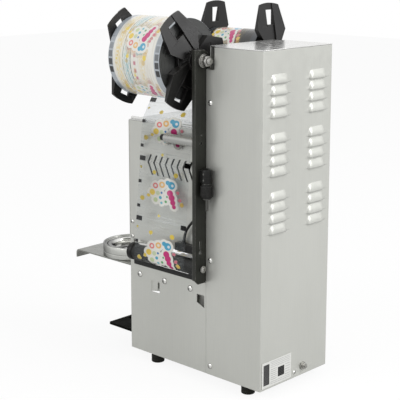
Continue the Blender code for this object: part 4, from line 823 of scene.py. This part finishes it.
for low, high, middle, half in ((124.0, 141.5, half_pitch, 4.7), (-1.0, 15.0, half_pitch, 4.9),
        (131.5, 141.5, 108.0, 3.2), (131.5, 141.5, 35.6, 3.2)):
    place = calc(tree, "WRAP", calc(tree, "ADD", run, half_pitch - middle), print_pitch, 0.0)
    along = inside(tree, place, half_pitch - half, half_pitch + half, 0.4)
    mark = both_true(tree, inside(tree, wide, low, high, 0.4), along)
    skin = mixed(tree, mark, skin, tone(14, 15, 15))
    see = calc(tree, "MAXIMUM", see, mark)
shaded = calc(tree, "MULTIPLY_ADD", put(tree, "ShaderNodeLightPath").outputs["Is Shadow Ray"], -0.7, 1.0)
wavy = put(tree, "ShaderNodeBump", {"Height": milk, "Strength": 0.3, "Distance": 0.002})
feed(tree, shader, {"Base Color": skin, "Alpha": calc(tree, "MULTIPLY", see, shaded), "Normal": wavy.outputs[0],
    "Roughness": ramp(tree, streak, 0.3, 0.7, 0.12, 0.3), "Specular IOR Level": 0.3})
web = add_piece("film_ribbon", bm, "frame", film_look, ["film_web"], smooth=60)
skin_wall = web.modifiers.new("gauge", "SOLIDIFY")
skin_wall.thickness, skin_wall.offset = 0.2 * MM, 0.0

# Guide tubes and lower rollers: a fixed bright tube on a pin with a black end plug, and under it a
# rubber-covered roller with a moulded end cap and a grooved sleeve, which turns on a steel axle.
# The light edge colour is a painted highlight along the tube's edges.
tube_metal = finish_of("guide_tube_metal", (176, 177, 173), satin, {"Cloud": 0.06, "Line": 0.06, "Rough": 0.32},
    metallic=0.7, bump=0.05, depth=0.00005, edge=((246, 246, 243), 0.0005, 0.6), dust=0.05)
# The lighter edge colour is a painted highlight along the rubber's edges.
rubber = finish_of("roller_rubber", (30, 31, 30), moulded, {"Rough": 0.5, "Size": 900.0}, bump=0.2,
    edge=((92, 92, 90), 0.0009, 0.5), dust=0.03, sheen=0.3)
for side, k in (("right", 1), ("left", -1)):
    guide, roller = (k * guide_at[0], guide_at[1]), (k * roller_at[0], roller_at[1])
    bm = bmesh.new()
    turned(bm, [(7.6, 146.3), (8.8, 146.3), (9.3, 146.9), (9.3, 234.4), (8.9, 235.0), (7.6, 235.0)], "s", guide, 64)
    turned(bm, [(0, 143.6), (3.0, 143.6), (3.0, 239.0), (0, 239.0)], "s", guide, 32)
    add_piece(f"guide_tube_shell_{side}", bm, "frame", tube_metal, [f"guide_tube_{side}"])
    bm = bmesh.new()
    turned(bm, [(3.2, 231.0), (7.4, 231.0), (7.4, 235.1), (8.4, 235.3), (8.4, 236.4), (7.0, 237.2), (6.4, 238.0),
        (6.4, 245.4), (5.4, 246.8), (3.2, 247.2)], "s", guide, 48)
    add_piece(f"guide_tube_plug_{side}", bm, "frame", black_moulded)
    softened(f"roller_axle_{side}", "frame", plated, 0.3)
    bm = bmesh.new()
    turned(bm, [(4.4, 136.9), (6.9, 136.9), (6.9, 136.2), (6.5, 135.9), (4.9, 135.9), (4.5, 135.0), (3.2, 134.1),
        (1.6, 133.8), (0, 133.7)], "s", roller, 32)
    for wide, tall in ((2.6, 0.5), (0.5, 2.6)):
        x, z = (roller[0] - wide, roller[0] + wide), (roller[1] - tall, roller[1] + tall)
        bm = with_block(bm, x, (133.0, 135.0), z, 38, roller)
    add_piece(f"axle_screw_{side}", bm, "frame", plated)
    bm = bmesh.new()
    profile = [(4.4, 326.0), (4.4, 166.0), (14.4, 166.0), (15.0, 166.4)]
    for h in range(176, 320, 24):
        profile += [(15.2, h - 8.0), (15.2, h - 0.7), (14.9, h - 0.4), (14.9, h + 0.4), (15.2, h + 0.7)]
    turned(bm, profile + [(15.2, 325.4), (14.8, 326.0)], "s", roller, 64)
    add_piece(f"roller_cover_{side}", bm, f"roller_{side}", rubber, [f"film_roller_{side}"])
    bm = bmesh.new()
    turned(bm, [(4.4, 326.2), (15.6, 326.2), (16.8, 327.6), (17.6, 329.2), (17.6, 336.6), (16.8, 337.7),
        (12.4, 338.0), (11.8, 337.2), (6.0, 337.0), (5.4, 337.8), (0, 338.0), (0, 336.4), (4.4, 336.4)],
        "s", roller, 64)
    add_piece(f"roller_cap_{side}", bm, f"roller_{side}", black_moulded)
    bm = bmesh.new()
    turned(bm, [(4.4, 149.6), (15.4, 149.6), (16.2, 150.4), (16.2, 165.0), (15.6, 165.7), (4.4, 165.7)],
        "s", roller, 60)
    fluted(bm, "s", roller, 16.18, lambda i: i % 3, 0.12, -0.8)
    add_piece(f"roller_sleeve_{side}", bm, f"roller_{side}", rubber)

# Edge trim: a black rubber profile pushed over the slot's lower edge, so that the film isn't cut there; its black
# also gives the line of shade under the roller and shuts out the light there.
for side, k in (("right", 1), ("left", -1)):
    bm = bmesh.new()
    block(bm, sorted((k * 99.3, k * 103.0)), (150.0, 344.0), (183.8, 192.8))
    rounded(add_piece(f"slot_shade_trim_{side}", bm, "frame", rubber), 0.9, 3)

# Film mark sensor: a small moulded box on the side panel that watches the marks on the web's edge.
# Its round black cable leaves through a gland and runs up into the case beside the post.
softened("film_sensor", "frame", black_moulded, 1.1, 3)
bm = bmesh.new()
turned(bm, [(2.7, 256.4), (4.6, 256.4), (4.6, 258.4), (3.9, 259.2), (3.7, 262.4), (3.2, 263.2), (2.7, 263.2)], "z",
    (110.0, 192.0), 32)
for s in (163.0, 207.0):
    turned(bm, [(0, 116.2), (2.4, 116.2), (2.2, 116.9), (1.0, 117.3), (0, 117.3)], "x", (s, 249.0), 24)
turned(bm, [(0, 115.9), (4.2, 115.9), (4.4, 116.4), (4.0, 116.8), (3.2, 116.8), (3.0, 116.2), (0, 116.0)], "x",
    (185.0, 248.0), 32)
add_piece("sensor_fittings", bm, "frame", black_moulded)
cable_points = [(102 + a, 158 + b, 257.4 + c) for a, b, c in ((8, 34, 0), (8, 33, 11), (8.5, 29, 23), (9.5, 22, 33),
    (10, 14, 42), (9.6, 5, 51), (8.8, -1, 61), (7.2, -4.5, 71), (5.8, -6, 78), (4.8, -7, 83), (4.4, -7.8, 87))]
wire("sensor_cable_run", "NURBS", cable_points, 2.6, 6, rubber, "sensor_cable")

# Tension clamp behind the post: a moulded block screwed to the post, and a grooved knob that runs on
# a plated rod with a collar under it.
rod_x, rod_s = 115.0, 125.9
bm = bmesh.new()
turned(bm, [(3.4, 388.4), (9.2, 388.4), (10.2, 389.4), (10.2, 399.0), (9.9, 399.4), (9.9, 400.0), (10.2, 400.4),
    (10.2, 412.4), (9.4, 414.6), (7.6, 415.8), (3.4, 416.0)], "z", (rod_x, rod_s), 64)
bm = with_block(bm, (rod_x - 7.6, rod_x + 7.6), (126.0, 139.7), (390.0, 413.0), how="UNION")
rounded(add_piece("tension_clamp_body", bm, "frame", black_moulded, ["tension_block"]), 0.5, 2, 35)
bm = bmesh.new()
for z in (394.5, 406.5):
    turned(bm, [(0, 124.6), (2.2, 124.6), (2.1, 125.2), (1.2, 125.7), (0, 125.7)], "x", (rod_s, z), 32)
turned(bm, [(3.2, 387.6), (9.6, 387.6), (9.8, 387.8), (9.6, 388.2), (3.2, 388.2)], "z", (rod_x, rod_s), 48)
turned(bm, [(3.1, 356.6), (7.4, 356.6), (7.8, 357.0), (7.8, 358.6), (7.4, 359.2), (3.1, 359.2)], "z",
    (rod_x, rod_s), 48)
turned(bm, [(0, 334.4), (2.6, 334.4), (3.1, 335.0), (3.1, 388.0), (0, 388.0)], "z", (rod_x, rod_s), 32)
# The lighter edge colour is a painted highlight along the fittings' edges.
dull_steel = finish_of("clamp_steel", (92, 92, 89), satin, {"Cloud": 0.08, "Line": 0.04, "Rough": 0.35},
    metallic=0.8, bump=0.03, edge=((170, 170, 166), 0.0004, 0.5))
add_piece("clamp_fittings", bm, "frame", dull_steel)
bm = bmesh.new()
turned(bm, [(3.6, 359.8), (9.6, 359.8), (11.2, 361.6), (11.5, 362.4), (11.5, 382.6), (11.0, 383.4), (10.4, 383.8),
    (10.4, 386.6), (9.8, 387.2), (3.6, 387.2)], "z", (rod_x, rod_s), 72)
fluted(bm, "z", (rod_x, rod_s), 11.5, lambda i: i % 3, 0.12, -0.7)
add_piece("tension_knob_grip", bm, "knob", black_moulded, ["tension_knob"])

# Cup tray: a bent steel plate that slides on two rails, with a turned ring screwed to it and a
# changeable inner seat for the cup's rim.
ring_at = (0, 457)
lathe, a, z = node_group("lathe_lines", {"Colour": tone(190, 190, 185), "Rough": 0.3},
    ("Colour", "Roughness", "Height"))
p = parts_of(lathe, own_place(lathe, (mid_x * MM, (face_y - ring_at[1]) * MM, 0)))
out = vector(lathe, "LENGTH", joined(lathe, p["X"], p["Y"]))
rings = noise(lathe, joined(lathe, out, p["Z"]), 1300.0, 3.0)
patch = noise(lathe, own_place(lathe), 24.0, 3.0)
level = calc(lathe, "MULTIPLY", ramp(lathe, rings, 0.3, 0.7, 0.92, 1.07), ramp(lathe, patch, 0.3, 0.7, 0.94, 1.06))
dull = calc(lathe, "ADD", ramp(lathe, patch, 0.3, 0.7, -0.06, 0.08), a["Rough"])
feed(lathe, z, {"Colour": scaled(lathe, a["Colour"], level), "Roughness": dull, "Height": rings})
# The light edge colour is a painted highlight along the tray's edges.
tray_steel = finish_of("tray_steel", (146, 147, 142), satin, {"Cloud": 0.06, "Line": 0.05, "Rough": 0.3,
    "Along X": 1.0}, metallic=0.6, bump=0.05, depth=0.00005, edge=((232, 232, 228), 0.0007, 0.6), dust=0.06)
softened("cup_tray", "tray", tray_steel, 0.35)
for side in ("right", "left"):
    softened(f"tray_rail_{side}", "frame", steel, 0.3)


def mirror_metal(name, bright, dark, rough, start, end):
    """Polished metal painted darker where it is seen edge-on: painted shade for the darker reflections it shows in
    a white room.
    """
    look, tree, shader = new_look(name)
    edge_on = put(tree, "ShaderNodeLayerWeight", {"Blend": 0.5}).outputs["Facing"]
    fine = put(tree, "ShaderNodeGroup", node_tree=lathe)
    fine = feed(tree, fine, {"Colour": tone(*bright), "Rough": rough}).outputs
    relief = put(tree, "ShaderNodeBump", {"Height": fine["Height"], "Strength": 0.06, "Distance": 0.0001})
    # The colour turns to the dark one where the surface is seen edge-on: painted shade for polished metal's darker
    # reflections.
    feed(tree, shader, {"Base Color": mixed(tree, ramp(tree, edge_on, start, end), fine["Colour"], tone(*dark)),
        "Roughness": fine["Roughness"], "Normal": relief.outputs[0], "Metallic": 0.9})
    return look


# The dark colour is painted shade where the ring is seen edge-on.
ring_alloy = mirror_metal("turned_alloy", (202, 203, 198), (40, 41, 37), 0.24, 0.3, 0.85)
bm = bmesh.new()
turned(bm, [(56.9, 164.5), (65.2, 164.5), (66.0, 165.3), (66.0, 172.0), (65.2, 172.8), (65.2, 174.4), (66.0, 175.2),
    (66.0, 188.8), (65.6, 189.6), (64.8, 190.0), (62.2, 190.0), (61.4, 189.5), (60.8, 188.2), (58.0, 188.0),
    (57.3, 187.5), (56.9, 186.8)], "z", ring_at, 96)
add_piece("cup_ring_turned", bm, "tray", ring_alloy, ["cup_ring"])
bm = bmesh.new()
turned(bm, [(44.5, 170.4), (48.5, 166.0), (53.4, 164.4), (55.6, 164.4), (55.9, 164.8), (55.9, 186.0), (55.3, 187.0),
    (54.2, 187.4), (49.6, 187.4), (48.4, 187.0), (47.2, 185.6), (44.9, 182.4), (44.5, 181.4)], "z", ring_at, 96)
# The dark colour is painted shade where the seat is seen edge-on.
bright_ring = mirror_metal("polished_seat", (240, 240, 236), (34, 35, 31), 0.14, 0.3, 0.8)
add_piece("cup_seat_turned", bm, "tray", bright_ring, ["cup_seat"])

# Base tray under the cup: folded sheet, painted black, with windows cut in it for weight.  The four
# rubber feet are screwed under the case through a washer.
# The lighter edge colour is a painted highlight along the tray's edges.
tray_paint = finish_of("base_tray_paint", (13, 14, 10), moulded, {"Rough": 0.7, "Size": 1000.0}, bump=0.15,
    edge=((90, 90, 86), 0.0008, 0.45), sheen=0.05)
softened("base_tray", "frame", tray_paint, 0.4, merge=False)
# The lighter edge colour is a painted highlight along the feet's edges.
foot_rubber = finish_of("foot_rubber", (24, 25, 20), moulded, {"Rough": 0.6, "Size": 700.0}, bump=0.25,
    edge=((70, 70, 66), 0.001, 0.45), dust=0.04, sheen=0.2)
for name, x, s in (("foot_front_right", 88, 290), ("foot_front_left", -88, 290), ("foot_rear_right", 84, 45),
        ("foot_rear_left", -84, 45)):
    bm = bmesh.new()
    turned(bm, [(4.0, -17.0), (9.0, -17.0), (10.0, -18.0), (12.2, -18.0), (13.2, -17.3), (13.5, -16.0),
        (13.3, -12.4), (12.9, -12.0), (12.9, -11.2), (13.3, -10.8), (13.4, -5.0), (12.8, -3.4), (11.4, -1.6),
        (10.8, -0.5), (4.0, -0.5)], "z", (x, s), 64)
    add_piece(f"{name}_rubber", bm, "frame", foot_rubber, [name])

# Screws: bright dome heads with a cross recess hold the covers, the side panels and the front strip.
# Each size is the same head made larger or smaller, turned as the driver left it.
head = bmesh.new()
head_r, rim_high, dome_high = 4.9, 0.5, 2.3
dome = [(r, rim_high + h) for r, h in on_circle(head_r, (15, 30, 45, 60, 75), dome_high)]
turned(head, [(0, -0.6), (4.5, -0.6), (head_r, 0.0), (head_r, rim_high)] + dome + [(0, rim_high + dome_high)], "s",
    (0, 0), 40)
for wide, tall in ((0.5, 2.5), (2.5, 0.5)):
    head = with_block(head, (-wide, wide), (1.5, 5), (-tall, tall))
screws = bmesh.new()
panel_screws = [(s, 165.0, 1.25, 20) for s in (327.0, 255.0, 183.0)]
strip_screws = [(348.0, z, 0.85, 40) for z in (273.0, 242.0, 221.0)]
cover_screws = [(129.0, z, 1.1, 65) for z in (540.0, 233.0, 18.0)]
screwed = [(k * half_wide, *spot) for row in (panel_screws, strip_screws, cover_screws) for k in (1, -1)
    for spot in row]
for x, s, z, size, turn in screwed + [(-0.5, 0.0, 11.0, 0.8, 15)]:
    one = head.copy()
    spun(one, one.verts, turn)
    spun(one, one.verts, 180 if s == 0 else -90 if x > 0 else 90, "Z")
    bmesh.ops.scale(one, verts=one.verts, vec=(size, size, size))
    bmesh.ops.translate(one, verts=one.verts, vec=(x, s, z))
    mesh = bpy.data.meshes.new("work")
    one.to_mesh(mesh)
    one.free()
    screws.from_mesh(mesh)
    bpy.data.meshes.remove(mesh)
# The dark colour is painted shade on the screw heads where they are seen edge-on, so the domes read dark at the
# rim.
screw_metal = mirror_metal("screw_metal", (236, 236, 232), (30, 30, 28), 0.18, 0.28, 0.6)
add_piece("case_screws", screws, "frame", screw_metal)
head.free()

# Sealing head and drives inside the case: a cast carriage with its heater hangs from a steel bridge
# and a geared motor; the transformer, the control board and the tray's motor stand in the tower.
softened("head_bridge", "frame", steel, 0.4)
# The light edge colour is a painted highlight along the casting's edges.
cast = finish_of("cast_alloy", (170, 170, 166), moulded, {"Rough": 0.45, "Size": 800.0}, metallic=0.7, bump=0.25,
    edge=((226, 226, 222), 0.0009, 0.5), dust=0.1)
softened("head_carriage", "head", cast, 0.8, 3)
softened("seal_heater", "head", ring_alloy, 0.5)
softened("head_motor", "frame", black_moulded, 0.7)
softened("transformer", "frame", black_moulded, 0.6)
board_green = finish_of("board_green", (34, 88, 58), moulded, {"Rough": 0.35, "Size": 600.0}, coat=0.3,
    edge=((150, 160, 120), 0.0005, 0.4), dust=0.08)
softened("control_board", "frame", board_green, 0.2)
softened("tray_motor", "frame", cast, 0.6)

# Rear trim: a thin rating plate with plain bars only, and a plated earth terminal with its nut.
plate, tree, shader = new_look("rating_bars")
p = parts_of(tree, own_place(tree, (mid_x * MM, 0, case_z * MM), (1000, 1000, 1000)))
worn = noise(tree, own_place(tree), 260.0, 4.0)
skin = mixed(tree, ramp(tree, worn, 0.3, 0.7), tone(226, 227, 222), tone(238, 238, 235))
bars = [(75.5, 92.5, 9, 50, 22), (31, 50, 17, 36, 26)]
bars += [(14, 72, z, z + 0.7, 178) for z in (8, 11.5, 41, 44.5, 48, 51)]
bars += [(54, 72, z, z + 0.8, 166) for z in (16, 20, 24, 28, 32, 36)]
bars += [(14, 28, z, z + 0.8, 172) for z in (16, 21, 26, 31, 36)]
bars += [(76.5, 91.5, 10.5 + 1.9 * i, 10.9 + 1.9 * i, 128) for i in range(21)]
bars += [(x, x + 0.4, 9.5, 49.5, 128) for x in (79, 82.5, 86, 89.5)]
bars += [(33, 48, 20 + 3.2 * i, 20.6 + 3.2 * i, 100) for i in range(5)]
for x0, x1, z0, z1, shade in bars:
    bar = both_true(tree, inside(tree, p["X"], x0, x1, 0.2), inside(tree, p["Z"], z0, z1, 0.2))
    skin = mixed(tree, bar, skin, tone(shade, shade, shade))
rough = ramp(tree, worn, 0.3, 0.7, 0.32, 0.45)
feed(tree, shader, {"Base Color": skin, "Specular IOR Level": 0.2, "Roughness": rough})
softened("rating_plate", "frame", plate, 0.15)
softened("earth_terminal", "frame", plated, 0.4)

# Power inlet and rocker switch in the far side: one moulded black body that snaps into the sheet, three
# blades in its socket and a rocker that tips about a pin.
softened("power_inlet", "frame", black_moulded, 0.6, 3)
bm = bmesh.new()
for s, z in ((57.0, 55.0), (64.0, 61.5), (71.0, 55.0)):
    bmesh.ops.create_cube(bm, size=1.0, matrix=Matrix.Translation((-91.0, s, z))
        @ Matrix.Diagonal((14.0, 2.0, 4.0, 1)))
rounded(add_piece("inlet_blades", bm, "frame", plated), 0.5, 2)
softened("power_rocker", "rocker", black_moulded, 0.6, 3)
